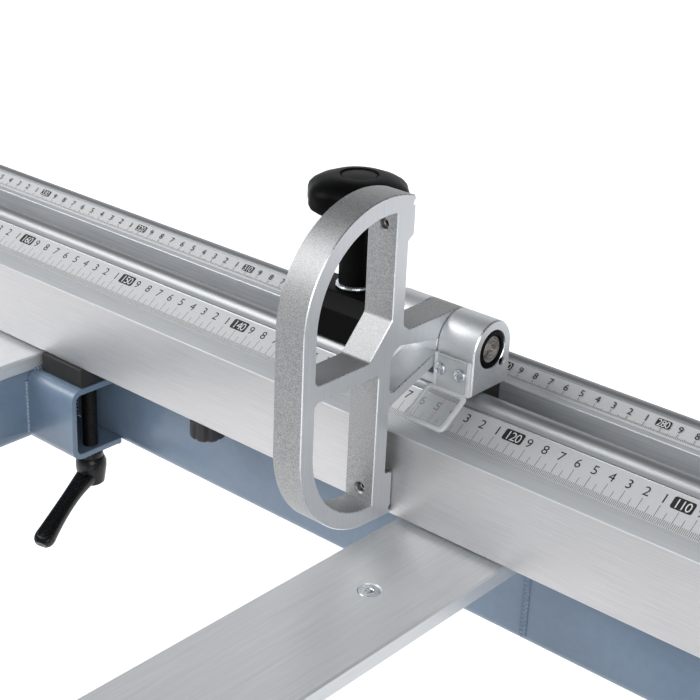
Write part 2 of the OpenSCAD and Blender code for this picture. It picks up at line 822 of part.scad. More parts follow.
// Fence section, open along the top for the stop's slot nut and below for the studs
module fence_profile() color(bright)
    at_fence() difference() {
        union() {
            along_x(fence_x0, fence_x1) polygon([
                [face_y, fence_low], [face_y, scale_lo_z], [scale_lo_y, scale_lo_z],
                [scale_lo_y, scale_lo_z] + scale_sink, [scale_hi_y, scale_hi_z] + scale_sink,
                [bead_y, bead_z + 2], [slot_y0, bead_z], [slot_y0, slot_lip], [slot_y1, slot_lip],
                [slot_y1, rear_lip_z], [rear_lo_y, rear_lip_z], [rear_lo_y, rear_lip_z] + rear_sink,
                [rear_hi_y, rear_hi_z] + rear_sink, [rear_bead_y, rear_bead_z + 2],
                [rear_y, rear_bead_z], [rear_y, fence_low]
            ]);
            rod_x(fence_x0, fence_x1, bead_y, bead_z, bead_r);
            rod_x(fence_x0, fence_x1, rear_bead_y, rear_bead_z, rear_bead_r);
        }
        box(fence_x0 - 1, fence_x1 + 1, slot_y0 - slot_side, slot_y1 + slot_side, slot_floor, slot_lip);
        box(fence_x0 - 1, fence_x1 + 1, foot_slot_y - foot_mouth / 2, foot_slot_y + foot_mouth / 2,
            fence_low - 1, fence_low + foot_lip + 1);
        box(fence_x0 - 1, fence_x1 + 1, foot_slot_y - foot_head / 2, foot_slot_y + foot_head / 2,
            fence_low + foot_lip, fence_low + foot_lip + foot_deep);
        box(fence_x0 - 1, fence_x1 + 1, cave_y0, cave_y1, cave_z0, cave_z1);
    }

module fence_scales() color(bright)
    at_fence() {
        along_x(fence_x0, fence_x1) scale_strip_front();
        along_x(fence_x0, fence_x1) scale_strip_rear();
    }

module fence_end_cap() color(black)
    at_fence() box(fence_x1, fence_x1 + 4, face_y, rear_y, fence_low, scale_lo_z);

// Telescopic bar that runs in the fence's inner hollow, with its end block
module fence_extension() color(alloy)
    at_fence() union() {
        box(fence_x0 - ext_block, fence_x0 - part_gap, face_y, rear_y, fence_low, scale_lo_z);
        box(fence_x0 - 1, fence_x0 + ext_travel + 60, cave_y0 + run_c,
            cave_y1 - run_c, cave_z0 + run_c, cave_z1 - run_c);
    }

module fence_spacers() color(black)
    at_fence() for (x = clamped)
        difference() {
            translate([tag_reading + x + member_w / 2, 0, 0])
                box(6, bracket_len - 1, foot_slot_y - 12, rail_off,
                    fence_low - fence_gap - strip_t, fence_low);
            rod_z(lever_z, fence_low + 1, tag_reading + stud_at(x), foot_slot_y, stud_r + 0.2);
        }

// Studs whose square heads sit in the fence's lower slot
module clamp_studs() color(steel)
    at_fence() for (x = clamped)
        translate([tag_reading + stud_at(x), foot_slot_y, 0]) {
            translate([-8, -foot_head / 2 + 0.3, fence_low + foot_lip])
                cube([16, foot_head - 0.6, foot_deep - 0.3]);
            translate([0, 0, lever_z - 26]) cylinder(h = fence_low + foot_lip - lever_z + 26.5, r = stud_r);
        }

module clamp_lever(x, turn) color(black)
    at_fence() translate([tag_reading + stud_at(x), foot_slot_y, lever_z - part_gap])
        rotate([0, 0, turn]) difference() {
            union() {
                translate([0, 0, -4]) cylinder(h = 4, r = 8);
                translate([0, 0, -24]) cylinder(h = 20, r1 = 10, r2 = 12.5);
                hull() {
                    translate([8, 0, -16]) sphere(r = 7, $fn = 20);
                    translate([30, 0, -22]) sphere(r = 5.5, $fn = 20);
                }
                hull() {
                    translate([30, 0, -22]) sphere(r = 5.5, $fn = 20);
                    translate([56, 0, -42]) sphere(r = 6.5, $fn = 20);
                }
            }
            translate([0, 0, -30]) cylinder(h = 31, r = stud_r + run_c);
        }

module outer_clamp_lever() clamp_lever(clamped[0], -75);
module inner_clamp_lever() clamp_lever(clamped[1], -75);

module fence_foot_knob() color(black)
    at_fence() translate([foot_knob_x, foot_slot_y, fence_low]) union() {
        difference() {
            translate([0, 0, -13]) cylinder(h = 13 - part_gap, r = 11);
            for (a = [0 : 45 : 315])
                rotate([0, 0, a]) translate([12, 0, -14]) cylinder(h = 15, r = 2.4);
        }
        translate([0, 0, -1]) cylinder(h = foot_lip + 1.4, r = 4.9);
        translate([0, 0, foot_lip + part_gap])
            cylinder(h = foot_deep - 2 * part_gap, r = foot_head / 2 - part_gap);
    }

// Black block that clamps the stop on top of the fence
module stop_clamp_block() color(black)
    at_fence() difference() {
        union() {
            along_x(clamp_x0, clamp_x1) polygon([
                [bead_y - 5, base_z0], [bead_y - 5, clamp_top - 8], [bead_y + 3, clamp_top],
                [slot_mid + 8, clamp_top], [slot_mid + 15, clamp_top - 8], [slot_mid + 15, rear_hi_z + 4],
                [slot_y1 - part_gap, base_z0]
            ]);
            box(clamp_x0, clamp_x1, slot_y0 + part_gap, slot_y1 - part_gap, slot_lip + part_gap, base_z0 + 1);
        }
        rod_z(slot_lip - 1, clamp_top + 1, clamp_mid, slot_mid, knob_stud_r + 0.3);
    }

module stop_slot_nut() color(black)
    at_fence() difference() {
        union() {
            box(clamp_x0, block_x1 - 6, slot_y0 - slot_side + part_gap, slot_y1 + slot_side - part_gap,
                slot_floor + part_gap, slot_lip - part_gap);
            box(clamp_x1 + 1, block_x1 - 6, slot_y0 + part_gap, slot_y1 - part_gap, slot_lip - 1, base_z0);
        }
        rod_z(slot_floor - 1, slot_lip + 1, clamp_mid, slot_mid, knob_stud_r + run_c);
    }

// Knob with its neck, its washer and its stud
module stop_knob() color(black)
    at_fence() translate([clamp_mid, slot_mid, clamp_top + part_gap]) union() {
        cylinder(h = 2.5, r = 11);
        translate([0, 0, 2]) cylinder(h = 40, r = 9.5);
        translate([0, 0, 39]) cylinder(h = 9, r1 = 12, r2 = knob_d / 2 - 6);
        difference() {
            translate([0, 0, 47]) cylinder(h = 14, r = knob_d / 2);
            for (a = [0 : 60 : 300])
                rotate([0, 0, a + 20]) translate([knob_d / 2 + 5, 0, 46]) cylinder(h = 16, r = 9);
        }
        translate([0, 0, 60]) cylinder(h = 7, r1 = knob_d / 2 - 5, r2 = 13);
        translate([0, 0, slot_floor + 1 - clamp_top]) cylinder(h = clamp_top - slot_floor, r = knob_stud_r);
    }

// Bright hinge block: a low base with a barrel at each side of the stop plate
module hinge_block() color(bright)
    at_fence() difference() {
        union() {
            box(clamp_x1, block_x1, axis_y - barrel_r, axis_y + barrel_r, base_z0, base_z0 + 6);
            for (x = [[plate_x0 - part_gap - left_barrel, plate_x0 - part_gap], [block_x0, block_x1]]) {
                box(x[0], x[1], axis_y - barrel_r, axis_y + barrel_r, base_z0, axis_z);
                rod_x(x[0], x[1], axis_y, axis_z, barrel_r);
            }
        }
        rod_x(clamp_x1 - 1, block_x1 + 1, axis_y, axis_z, bush_d / 2);
        rod_x(block_x1 - 12, block_x1 + 1, axis_y + 9.2, axis_z - 9.5, 2.1);
        for (x = cursor_x)
            rod_y(axis_y - barrel_r - 1, axis_y - barrel_r + 6, x, cursor_z, 1.6);
    }

module hinge_bushes() color(black)
    at_fence() for (x = [[plate_x0 - part_gap - left_barrel, plate_x0 - part_gap], [block_x0, block_x1]])
        difference() {
            rod_x(x[0], x[1], axis_y, axis_z, bush_d / 2);
            rod_x(x[0] - 1, x[1] + 1, axis_y, axis_z, shaft_d / 2 + run_c);
        }

module hinge_shaft() color(steel)
    at_fence() rod_x(plate_x0 - left_barrel, block_x1 - 0.6, axis_y, axis_z, shaft_d / 2);

// Stop plate: a D-shaped ring with a waist, an arm and a strut to its hub
module stop_plate() color(bright)
    at_fence() difference() {
        union() {
            along_x(plate_x0, stop_x) polygon(concat(
                [[pad_y, fence_low + 0.7], [pad_y, -31], [bar_y, -30], [bar_y, 36], [top_bar_y, 46],
                    [top_bar_y, 99], [pad_y + 7, 102], [pad_y + 7, 121]],
                arc(head_arc_y, 66, head_r, 71, 180, 24),
                arc(foot_arc_y, 1, window_r, 180, 270, 20)
            ));
            along_x(plate_x0, stop_x) polygon(concat(
                [[axis_y, axis_z], [axis_y, axis_z + barrel_r], [top_bar_y - 1, axis_z + barrel_r],
                    [bar_y - 1, 34]],
                arc(bar_y + 8, arm_low - 8, 8, 180, 90, 8)
            ));
            along_x(plate_x0, stop_x) polygon([
                [bar_y - 1, 8.2], [bar_y - 1, 15.6], [9, 31.2], [9, 24]
            ]);
            rod_x(plate_x0, stop_x, axis_y, axis_z, barrel_r);
        }
        along_x(plate_x0 - 1, stop_x + 1) polygon(concat(
            [[bar_y - bar_t, waist_z - bar_t], [ring_y0 + bar_t, waist_z - bar_t]],
            arc(foot_arc_y, 1, window_r - bar_t, 180, 271, 20)
        ));
        along_x(plate_x0 - 1, stop_x + 1) polygon(concat(
            [[ring_y0 + bar_t, waist_z], [waist_y, waist_z], [top_bar_y - bar_t, waist_z + 18.4]],
            arc(head_arc_y, 66, head_r - bar_t, 82, 180, 20)
        ));
        rod_x(plate_x0 - 1, stop_x + 1, pad_y + 0.4, -52.7, 1.3);
        rod_x(plate_x0 - 1, stop_x + 1, pad_y + 7.2, 118.6, 1.5);
        rod_x(plate_x0 - 1, stop_x + 1, axis_y, axis_z, shaft_d / 2);
        for (z = [-38.2, 108.2])
            rod_y(-60, 0, stop_x - 9, z, screw_r);
    }

module stop_set_screws() color(steel)
    at_fence() {
        rod_y(bar_y - bar_t + 1, pad_y, stop_x - 9, -38.2, screw_r);
        rod_y(top_bar_y - bar_t + 1, pad_y + 7, stop_x - 9, 108.2, screw_r);
    }

// Clear cursor: an upright tab and a sloping window over the scale
module cursor_lens() color("white", 0.5)
    at_fence() difference() {
        union() {
            box(block_x0, block_x1 - 0.3, lens_y - lens_t, lens_y, lens_z, lens_z + 20.5);
            translate([0, lens_y, lens_z]) rotate([180 + scale_slope, 0, 0])
                translate([block_x0, 0, -lens_t]) cube([block_w - 0.3, 22, lens_t]);
        }
        for (x = cursor_x)
            rod_y(lens_y - 4, lens_y + 1, x, cursor_z, 1.7);
    }

module cursor_screws() color(steel)
    at_fence() for (x = cursor_x) {
        rod_y(lens_y - lens_t, lens_y + 5, x, cursor_z, 1.5);
        rod_y(lens_y - lens_t - 2, lens_y - lens_t, x, cursor_z, 3);
    }

// Saddle on the round rail, with the upright that holds the rip fence
module rip_carrier() color(iron)
    difference() {
        union() {
            box(rip_at + 46, rip_at + 166, rail_y - 45, rail_y + 60, rail_z - 32, 1);
            box(rip_at + 46, rip_at + 166, rail_y - 45, rail_y + 200, 1, 16);
            box(rip_at + rip_t, rip_at + rip_t + 50, rail_y + 60, rail_y + 200, 1, rip_h - 20);
        }
        rod_x(rip_at, rip_at + 200, rail_y, rail_z, rail_d / 2 + run_c);
        box(rip_at, rip_at + 200, rail_y, rail_y + 61, rail_z - 33, rail_post_z + rail_post_r + 5);
        rod_x(rip_at + 86, rip_at + 126, lever_hub_y, lever_hub_z, 10 + run_c);
        rod_x(rip_at + 76, rip_at + 136, lever_hub_y, lever_hub_z, 5 + run_c);
        box(rip_at + 86, rip_at + 126, rail_y - 46, rail_y - 33, lever_hub_z, 17);
    }

module rip_fence() color(alloy)
    translate([rip_at, -table_front + 6, 1]) difference() {
        cube([rip_t, rip_len, rip_h]);
        translate([4, -1, 4]) cube([rip_t - 8, rip_len + 2, rip_h - 8]);
    }

module rip_lock_lever() color(black)
    union() {
        rod_x(rip_at + 86 + part_gap, rip_at + 126 - part_gap, lever_hub_y, lever_hub_z, 8);
        rod_x(rip_at + 77, rip_at + 135, lever_hub_y, lever_hub_z, 5);
        box(rip_at + 98, rip_at + 114, rail_y - 66, rail_y - 46, lever_hub_z - 7, lever_hub_z + 7);
        box(rip_at + 98, rip_at + 114, rail_y - 66, rail_y - 56, lever_hub_z - 110, lever_hub_z + 7);
        rod_x(rip_at + 90, rip_at + 122, rail_y - 61, lever_hub_z - 116, 12);
    }

placed() cabinet();
placed() rear_door();
placed() leveling_feet();
placed() main_table();
placed() table_insert();
placed() extension_table();
placed() slide_beam();
placed() rip_rail();
placed() control_panel();
placed() start_button();
placed() stop_button();
placed() emergency_stop();
placed() trunnion_guides();
placed() tilt_handwheel();
placed() rise_handwheel();
placed() tilt_carriage();
placed() rise_slide();
placed() motor();
placed() motor_pulley();
placed() drive_belt();
placed() arbor();
placed() saw_blade();
placed() blade_flanges();
placed() scoring_blade();
placed() riving_knife();
placed() guard_post();
placed() guard_arm();
placed() guard_hood();
placed() sliding_table();
placed() roller_cage();
placed() push_handle();
placed() table_lock();
placed() outrigger_frame();
placed() outrigger_strips();
placed() support_roller();
placed() arm_pivot();
placed() swing_arm();
placed() arm_extension();
placed() fence_profile();
placed() fence_end_cap();
placed() fence_extension();
placed() fence_scales();
placed() fence_spacers();
placed() clamp_studs();
placed() outer_clamp_lever();
placed() inner_clamp_lever();
placed() fence_foot_knob();
placed() stop_clamp_block();
placed() stop_slot_nut();
placed() stop_knob();
placed() hinge_block();
placed() hinge_bushes();
placed() hinge_shaft();
placed() stop_plate();
placed() stop_set_screws();
placed() cursor_lens();
placed() cursor_screws();
placed() rip_carrier();
placed() rip_fence();
placed() rip_lock_lever();
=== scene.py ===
"""Looks of a sliding table saw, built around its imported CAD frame.

The close view shows the cross-cut fence with its two rulers, the flip stop and the outrigger below them.
Sizes in the classes are millimetres. A class that works in the fence's own frame adds FENCE to its points.
"""

import json
import logging
from collections.abc import Callable
from dataclasses import dataclass, field
from enum import Enum
from itertools import product
from math import cos, pi, radians, sin
from typing import Any

import bmesh
import bpy
import numpy as np
from mathutils import Matrix, Vector
from mathutils.geometry import tessellate_polygon

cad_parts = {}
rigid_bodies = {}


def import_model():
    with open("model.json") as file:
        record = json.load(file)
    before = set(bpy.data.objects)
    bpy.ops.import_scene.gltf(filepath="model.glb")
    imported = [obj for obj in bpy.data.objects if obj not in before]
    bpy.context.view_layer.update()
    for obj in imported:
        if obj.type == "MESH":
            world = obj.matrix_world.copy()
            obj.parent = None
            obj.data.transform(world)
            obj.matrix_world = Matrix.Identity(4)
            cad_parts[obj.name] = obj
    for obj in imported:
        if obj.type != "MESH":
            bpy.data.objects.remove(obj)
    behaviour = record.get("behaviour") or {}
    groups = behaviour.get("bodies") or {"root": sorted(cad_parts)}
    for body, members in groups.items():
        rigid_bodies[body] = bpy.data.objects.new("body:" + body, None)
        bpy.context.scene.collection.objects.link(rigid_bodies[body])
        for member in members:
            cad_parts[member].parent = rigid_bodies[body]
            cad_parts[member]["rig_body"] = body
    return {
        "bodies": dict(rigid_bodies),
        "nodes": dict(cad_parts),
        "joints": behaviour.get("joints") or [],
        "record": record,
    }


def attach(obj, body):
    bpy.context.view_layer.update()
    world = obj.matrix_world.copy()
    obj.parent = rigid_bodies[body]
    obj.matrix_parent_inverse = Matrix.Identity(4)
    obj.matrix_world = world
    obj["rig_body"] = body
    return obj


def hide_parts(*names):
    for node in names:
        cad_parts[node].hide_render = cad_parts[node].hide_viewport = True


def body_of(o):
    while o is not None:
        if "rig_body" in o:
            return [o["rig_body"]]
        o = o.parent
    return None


log = logging.getLogger("table_saw")

MM = 0.001
FENCE = np.array([-1030.0, 150.0, 934.006])
BLADE = np.array([270.0, 0.0, 875.0])
FENCE_BODY = "table"
STUD_Y = -19.167
FENCE_LOW = -57.006
MERGE, COLLAPSED = 1e-6, 1e-7
SHARP = 32.0
NOISE_LOW, NOISE_HIGH = 0.3, 0.7
COAT_ROUGHNESS = 0.15
IOR = 1.49

Outline = list[tuple[float, float]]
Spot = tuple[float, float, float]
Circle = tuple[float, float, float]
Colour = tuple[float, float, float]
Frame = dict[str, Any]
Rule = Callable[[np.ndarray, np.ndarray], np.ndarray]


class Axis(Enum):
    """Direction in which an outline is carried; the value lists where its (u, v, w) go."""

    X = (1, 2, 0)
    Y = (0, 2, 1)
    Z = (0, 1, 2)


class Grain(Enum):
    """How a surface was worked: the stretch of its noise along x, y and z."""

    ALONG_X = (0.02, 1.0, 1.0)
    ALONG_Y = (1.0, 0.02, 1.0)
    ALONG_Z = (1.0, 1.0, 0.02)
    EVEN = (1.0, 1.0, 1.0)


# --- outlines -----------------------------------------------------------------------------------------------


def arc(u: float, v: float, r: float, start: float, end: float, steps: int = 12) -> Outline:
    """Points of a circle's arc: (u + r cos a, v + r sin a) for a from start to end in degrees."""
    turn = np.radians(np.linspace(start, end, steps + 1))
    return [tuple(p) for p in np.stack([u + r * np.cos(turn), v + r * np.sin(turn)], 1)]


def fillet(corners: Outline, radii: dict[int, float], steps: int = 6) -> Outline:
    """Rounds the numbered corners of a closed outline.

    At a corner with half angle h the arc of radius r touches each side r / tan h away, about a centre on the
    bisector that is r / sin h away.

    Args:
        corners: the outline's corners in order.
        radii: a radius for each corner number that is rounded.
        steps: number of sides of each arc.

    Returns:
        The outline with each of those corners changed for its arc.
    """
    points: Outline = []
    for i, corner in enumerate(corners):
        r = radii.get(i, 0.0)
        if r <= 0:
            points.append(corner)
            continue
        here = np.array(corner, float)
        a = np.array(corners[i - 1], float) - here
        b = np.array(corners[(i + 1) % len(corners)], float) - here
        a, b = a / np.linalg.norm(a), b / np.linalg.norm(b)
        half = np.arccos(np.clip(a @ b, -1, 1)) / 2
        mid = here + (a + b) / np.linalg.norm(a + b) * r / np.sin(half)
        from_a = here + a * r / np.tan(half) - mid
        from_b = here + b * r / np.tan(half) - mid
        t0 = np.arctan2(from_a[1], from_a[0])
        sweep = (np.arctan2(from_b[1], from_b[0]) - t0 + pi) % (2 * pi) - pi
        points += arc(mid[0], mid[1], r, np.degrees(t0), np.degrees(t0 + sweep), steps)
    return points


def rectangle(u0: float, u1: float, v0: float, v1: float, r: float = 0.0, steps: int = 6) -> Outline:
    """A rectangle's outline with its corners rounded to r."""
    return fillet([(u0, v0), (u1, v0), (u1, v1), (u0, v1)], {i: r for i in range(4)}, steps)


def ring(u: float, v: float, r: float, steps: int = 32) -> Outline:
    """A whole circle as an outline."""
    return arc(u, v, r, 0, 360, steps)[:-1]


def inset(outline: np.ndarray, depth: float) -> np.ndarray:
    """The outline moved to its left by depth: each corner goes along its mitre, (n1 + n2) / (1 + n1 . n2)."""
    ahead = np.roll(outline, -1, 0) - outline
    ahead /= np.linalg.norm(ahead, axis=1, keepdims=True)
    normal = np.stack([-ahead[:, 1], ahead[:, 0]], 1)
    before = np.roll(normal, 1, 0)
    share = 1 + np.clip((normal * before).sum(1, keepdims=True), -0.6, 1)
    return outline + (normal + before) / share * depth


def area(outline: np.ndarray) -> float:
    """Signed area of a closed outline, positive where it turns left."""
    nxt = np.roll(outline, -1, 0)
    return float((outline[:, 0] * nxt[:, 1] - nxt[:, 0] * outline[:, 1]).sum() / 2)


# --- surfaces -----------------------------------------------------------------------------------------------


@dataclass
class Shell:
    """Surfaces gathered for one mesh, in millimetres, with the number of the finish on each face."""

    points: list[np.ndarray] = field(default_factory=list)
    faces: list[np.ndarray] = field(default_factory=list)
    marks: list[np.ndarray] = field(default_factory=list)
    size: int = 0

    def add(self, points: np.ndarray, faces: np.ndarray, mark: int = 0) -> "Shell":
        """Adds points (n, 3) with faces (m, k) that count from these points."""
        self.points.append(np.asarray(points, float).reshape(-1, 3))
        self.faces.append(np.asarray(faces, int) + self.size)
        self.marks.append(np.full(len(faces), mark))
        self.size += len(self.points[-1])
        return self

    def grid(self, p: np.ndarray, around: bool = False, mark: int = 0) -> "Shell":
        """A surface p[i, j] of rows and columns as quads; around also joins the last column to the first."""
        rows, cols = p.shape[:2]
        i, j = np.meshgrid(np.arange(rows - 1), np.arange(cols if around else cols - 1), indexing="ij")
        k = (j + 1) % cols
        quads = np.stack([i * cols + j, i * cols + k, (i + 1) * cols + k, (i + 1) * cols + j], -1)
        return self.add(p, quads.reshape(-1, 4), mark)

    def prism(self, outline: Outline, low: float, high: float, axis: Axis, edge: float = 0.0,
              holes: tuple[Outline, ...] = (), marks: tuple[int, int, int] = (0, 0, 0)) -> "Shell":
        """Carries an outline along an axis, with bevelled ends.

        Each loop runs (inset by edge, low), (outline, low + edge), (outline, high - edge), (inset, high); the
        ends are closed by triangles.

        Args:
            outline: the outer loop in the plane across the axis.
            low, high: the two ends along the axis.
            edge: width of the bevel at the ends.
            holes: loops cut out of the outline.
            marks: finishes of the sides, the bevels and the ends.
        """
        loops = [np.array(outline, float)] + [np.array(h, float) for h in holes]
        loops = [p if (area(p) > 0) == (k == 0) else p[::-1] for k, p in enumerate(loops)]
        place = np.argsort(axis.value)
        ends: list[np.ndarray] = []
        for p in loops:
            cut = inset(p, edge) if edge else p
            levels = [(p, low), (p, high)]
            if edge:
                levels = [(cut, low), (p, low + edge), (p, high - edge), (cut, high)]
            rows = np.stack([np.c_[q, np.full(len(q), w)] for q, w in levels])[..., place]
            for k in range(len(rows) - 1):
                side = marks[0] if not edge or k == 1 else marks[1]
                self.grid(rows[k:k + 2], True, side)
            ends.append(cut)
        tris = np.array(tessellate_polygon([[Vector((*q, 0)) for q in p] for p in ends]))
        flat = np.concatenate(ends)
        for w, order in ((low, 1), (high, -1)):
            self.add(np.c_[flat, np.full(len(flat), w)][:, place], tris[:, ::order], marks[2])
        return self

    def box(self, x: tuple[float, float], y: tuple[float, float], z: tuple[float, float], edge: float = 0.8,
            mark: int = 0) -> "Shell":
        """A block whose every edge is bevelled."""
        return self.prism(rectangle(*x, *y, edge, 2), *z, Axis.Z, edge, marks=(mark, mark, mark))

    def lathe(self, profile: Outline, centre: Spot, axis: Axis = Axis.Z, steps: int = 48,
              mark: int = 0, lobes: tuple[int, float] = (0, 0.0)) -> "Shell":
        """Turns a profile of (radius, height) about an axis through centre.

        A point is (r cos a, r sin a, h). Lobes (n, d) change r by d r (|cos(n a / 2)|^0.8 - 1).
        """
        rz = np.array(profile, float)
        turn = np.linspace(0, 2 * pi, steps, endpoint=False)
        swell = 1 + lobes[1] * (np.abs(np.cos(lobes[0] * turn / 2)) ** 0.8 - 1)
        r = rz[:, :1] * swell[None]
        p = np.stack([r * np.cos(turn), r * np.sin(turn), np.repeat(rz[:, 1:], steps, 1)], -1)
        return self.grid(p[..., np.argsort(axis.value)] + np.array(centre), True, mark)

    def rod(self, r: float, low: float, high: float, centre: Spot, axis: Axis = Axis.Z, steps: int = 32,
            mark: int = 0) -> "Shell":
        """A plain solid cylinder from low to high along an axis through centre."""
        return self.lathe([(0, low), (r, low), (r, high), (0, high)], centre, axis, steps, mark)

    def tube(self, path: np.ndarray, radii: np.ndarray, steps: int = 20, flat: float = 1.0,
             mark: int = 0, power: float = 1.0) -> "Shell":
        """A bar along a path whose radius changes.

        Its rim is (sgn(c) |c|^p, flat sgn(s) |s|^p) with c and s the cosine and sine of the turn, so that a
        power below 1 squares it and flat squeezes it along the second cross direction.
        """
        ahead = np.gradient(path, axis=0)
        ahead /= np.linalg.norm(ahead, axis=1, keepdims=True)
        ref = np.array([0.0, 0.0, 1.0]) if np.abs(ahead[:, 2]).max() < 0.95 else np.array([0.3, 0.9, 0.1])
        side = np.cross(ahead, ref)
        side /= np.linalg.norm(side, axis=1, keepdims=True)
        up = np.cross(side, ahead) * flat
        turn = np.linspace(0, 2 * pi, steps, endpoint=False)
        c, s = (np.sign(f) * np.abs(f) ** power for f in (np.cos(turn), np.sin(turn)))
        rim = c[:, None] * side[:, None] + s[:, None] * up[:, None]
        body = path[:, None] + radii[:, None, None] * rim
        closed = np.concatenate([np.repeat(path[:1, None], steps, 1), body,
                                 np.repeat(path[-1:, None], steps, 1)])
        return self.grid(closed, True, mark)

    def moved(self, by: np.ndarray, turn: Matrix | None = None) -> "Shell":
        """The same surfaces turned about the origin and then moved."""
        spin = np.array(turn.to_3x3()) if turn is not None else np.eye(3)
        return Shell([p @ spin.T + by for p in self.points], list(self.faces), list(self.marks), self.size)

    def marked(self, mark: int) -> "Shell":
        """The same surfaces, all with one finish number."""
        self.marks = [np.full(len(m), mark) for m in self.marks]
        return self

    def join(self, other: "Shell") -> "Shell":
        """Takes another shell's surfaces into this one."""
        for p, f, m in zip(other.points, other.faces, other.marks):
            self.points.append(p)
            self.faces.append(f + self.size)
            self.marks.append(m)
        self.size += other.size
        return self

    def mesh(self, name: str, origin: np.ndarray) -> bpy.types.Mesh:
        """The surfaces as a mesh in metres, with the shell's own zero at origin in millimetres."""
        made = bpy.data.meshes.new(name)
        faces = [tuple(f) for block in self.faces for f in block.tolist()]
        made.from_pydata(((np.concatenate(self.points) + origin) * MM).tolist(), [], faces)
        return made


def link_object(name: str, data: bpy.types.ID) -> bpy.types.Object:
    """Puts a new object with that data into the scene."""
    thing = bpy.data.objects.new(name, data)
    bpy.context.scene.collection.objects.link(thing)
    return thing


def add_piece(name: str, shell: Shell, body: str, finishes: list["Finish"],
              replaces: tuple[str, ...] = (), origin: np.ndarray = BLADE,
              smooth: float = SHARP) -> bpy.types.Object:
    """Makes a shell into an object of the scene.

    Args:
        name: the object's name.
        shell: its surfaces in millimetres.
        body: the CAD body that it rides on.
        finishes: one finish for each mark in the shell.
        replaces: CAD nodes that it stands for.
        origin: where the shell's own zero lies, in millimetres.
        smooth: the angle in degrees above which an edge stays sharp.

    Returns:
        The new object, which sits at the origin with its place in its mesh.
    """
    mesh = shell.mesh(name, origin)
    mesh.polygons.foreach_set("material_index", np.concatenate(shell.marks).astype(np.int32))
    for finish in finishes:
        mesh.materials.append(finish.material())
    piece = link_object(name, mesh)
    clean(mesh, smooth)
    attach(piece, body)
    if replaces:
        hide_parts(*replaces)
    log.info("%s: %d faces on %s", name, len(mesh.polygons), body)
    return piece


def clean(mesh: bpy.types.Mesh, smooth: float) -> None:
    """Merges doubles, drops collapsed faces, points faces outwards and marks the sharp edges."""
    work = bmesh.new()
    work.from_mesh(mesh)
    bmesh.ops.remove_doubles(work, verts=work.verts, dist=MERGE)
    bmesh.ops.dissolve_degenerate(work, edges=work.edges, dist=COLLAPSED)
    bmesh.ops.recalc_face_normals(work, faces=work.faces)
    work.to_mesh(mesh)
    work.free()
    mesh.shade_smooth()
    mesh.set_sharp_from_angle(angle=radians(smooth))


def settle(piece: bpy.types.Object) -> None:
    """Puts what a piece's modifiers make of it into its mesh."""
    bpy.context.view_layer.update()
    result = bpy.data.meshes.new_from_object(piece.evaluated_get(bpy.context.evaluated_depsgraph_get()))
    piece.modifiers.clear()
    piece.data = result


def carve(piece: bpy.types.Object, cutter: Shell, origin: np.ndarray, smooth: float = SHARP) -> None:
    """Cuts a shell out of a piece, and keeps the cut's walls in the piece's first finish."""
    mesh = cutter.mesh("cutter", origin)
    clean(mesh, smooth)
    tool = link_object("cutter", mesh)
    modifier = piece.modifiers.new("cut", "BOOLEAN")
    modifier.object, modifier.operation, modifier.solver = tool, "DIFFERENCE", "EXACT"
    settle(piece)
    bpy.data.objects.remove(tool)
    clean(piece.data, smooth)


def soften(piece: bpy.types.Object, width: float, segments: int, corner: float) -> None:
    """Rounds a piece's edges that turn by more than corner degrees, to width in millimetres, in its mesh."""
    bevel = piece.modifiers.new("edges", "BEVEL")
    bevel.width, bevel.segments, bevel.limit_method = width * MM, segments, "ANGLE"
    bevel.angle_limit, bevel.harden_normals = radians(corner), True
    settle(piece)


def remark(piece: bpy.types.Object, rule: Rule, origin: np.ndarray) -> None:
    """Gives each face the finish number that a rule works out from its centre in millimetres and normal."""
    faces = piece.data.polygons
    centre, normal = np.zeros(len(faces) * 3), np.zeros(len(faces) * 3)
    faces.foreach_get("center", centre)
    faces.foreach_get("normal", normal)
    marks = rule(centre.reshape(-1, 3) / MM - origin, normal.reshape(-1, 3))
    faces.foreach_set("material_index", marks.astype(np.int32))


# --- finishes -----------------------------------------------------------------------------------------------


def preset(node: bpy.types.Node, values: dict[str, Any]) -> None:
    """Sets a node's sockets by name."""
    for socket, value in values.items():
        node.inputs[socket].default_value = value


def add_node(nodes: bpy.types.Nodes, kind: str, values: dict[str, Any] | None = None) -> bpy.types.Node:
    """Adds a shader node of a kind and sets its named sockets."""
    made = nodes.new(f"ShaderNode{kind}")
    preset(made, values or {})
    return made


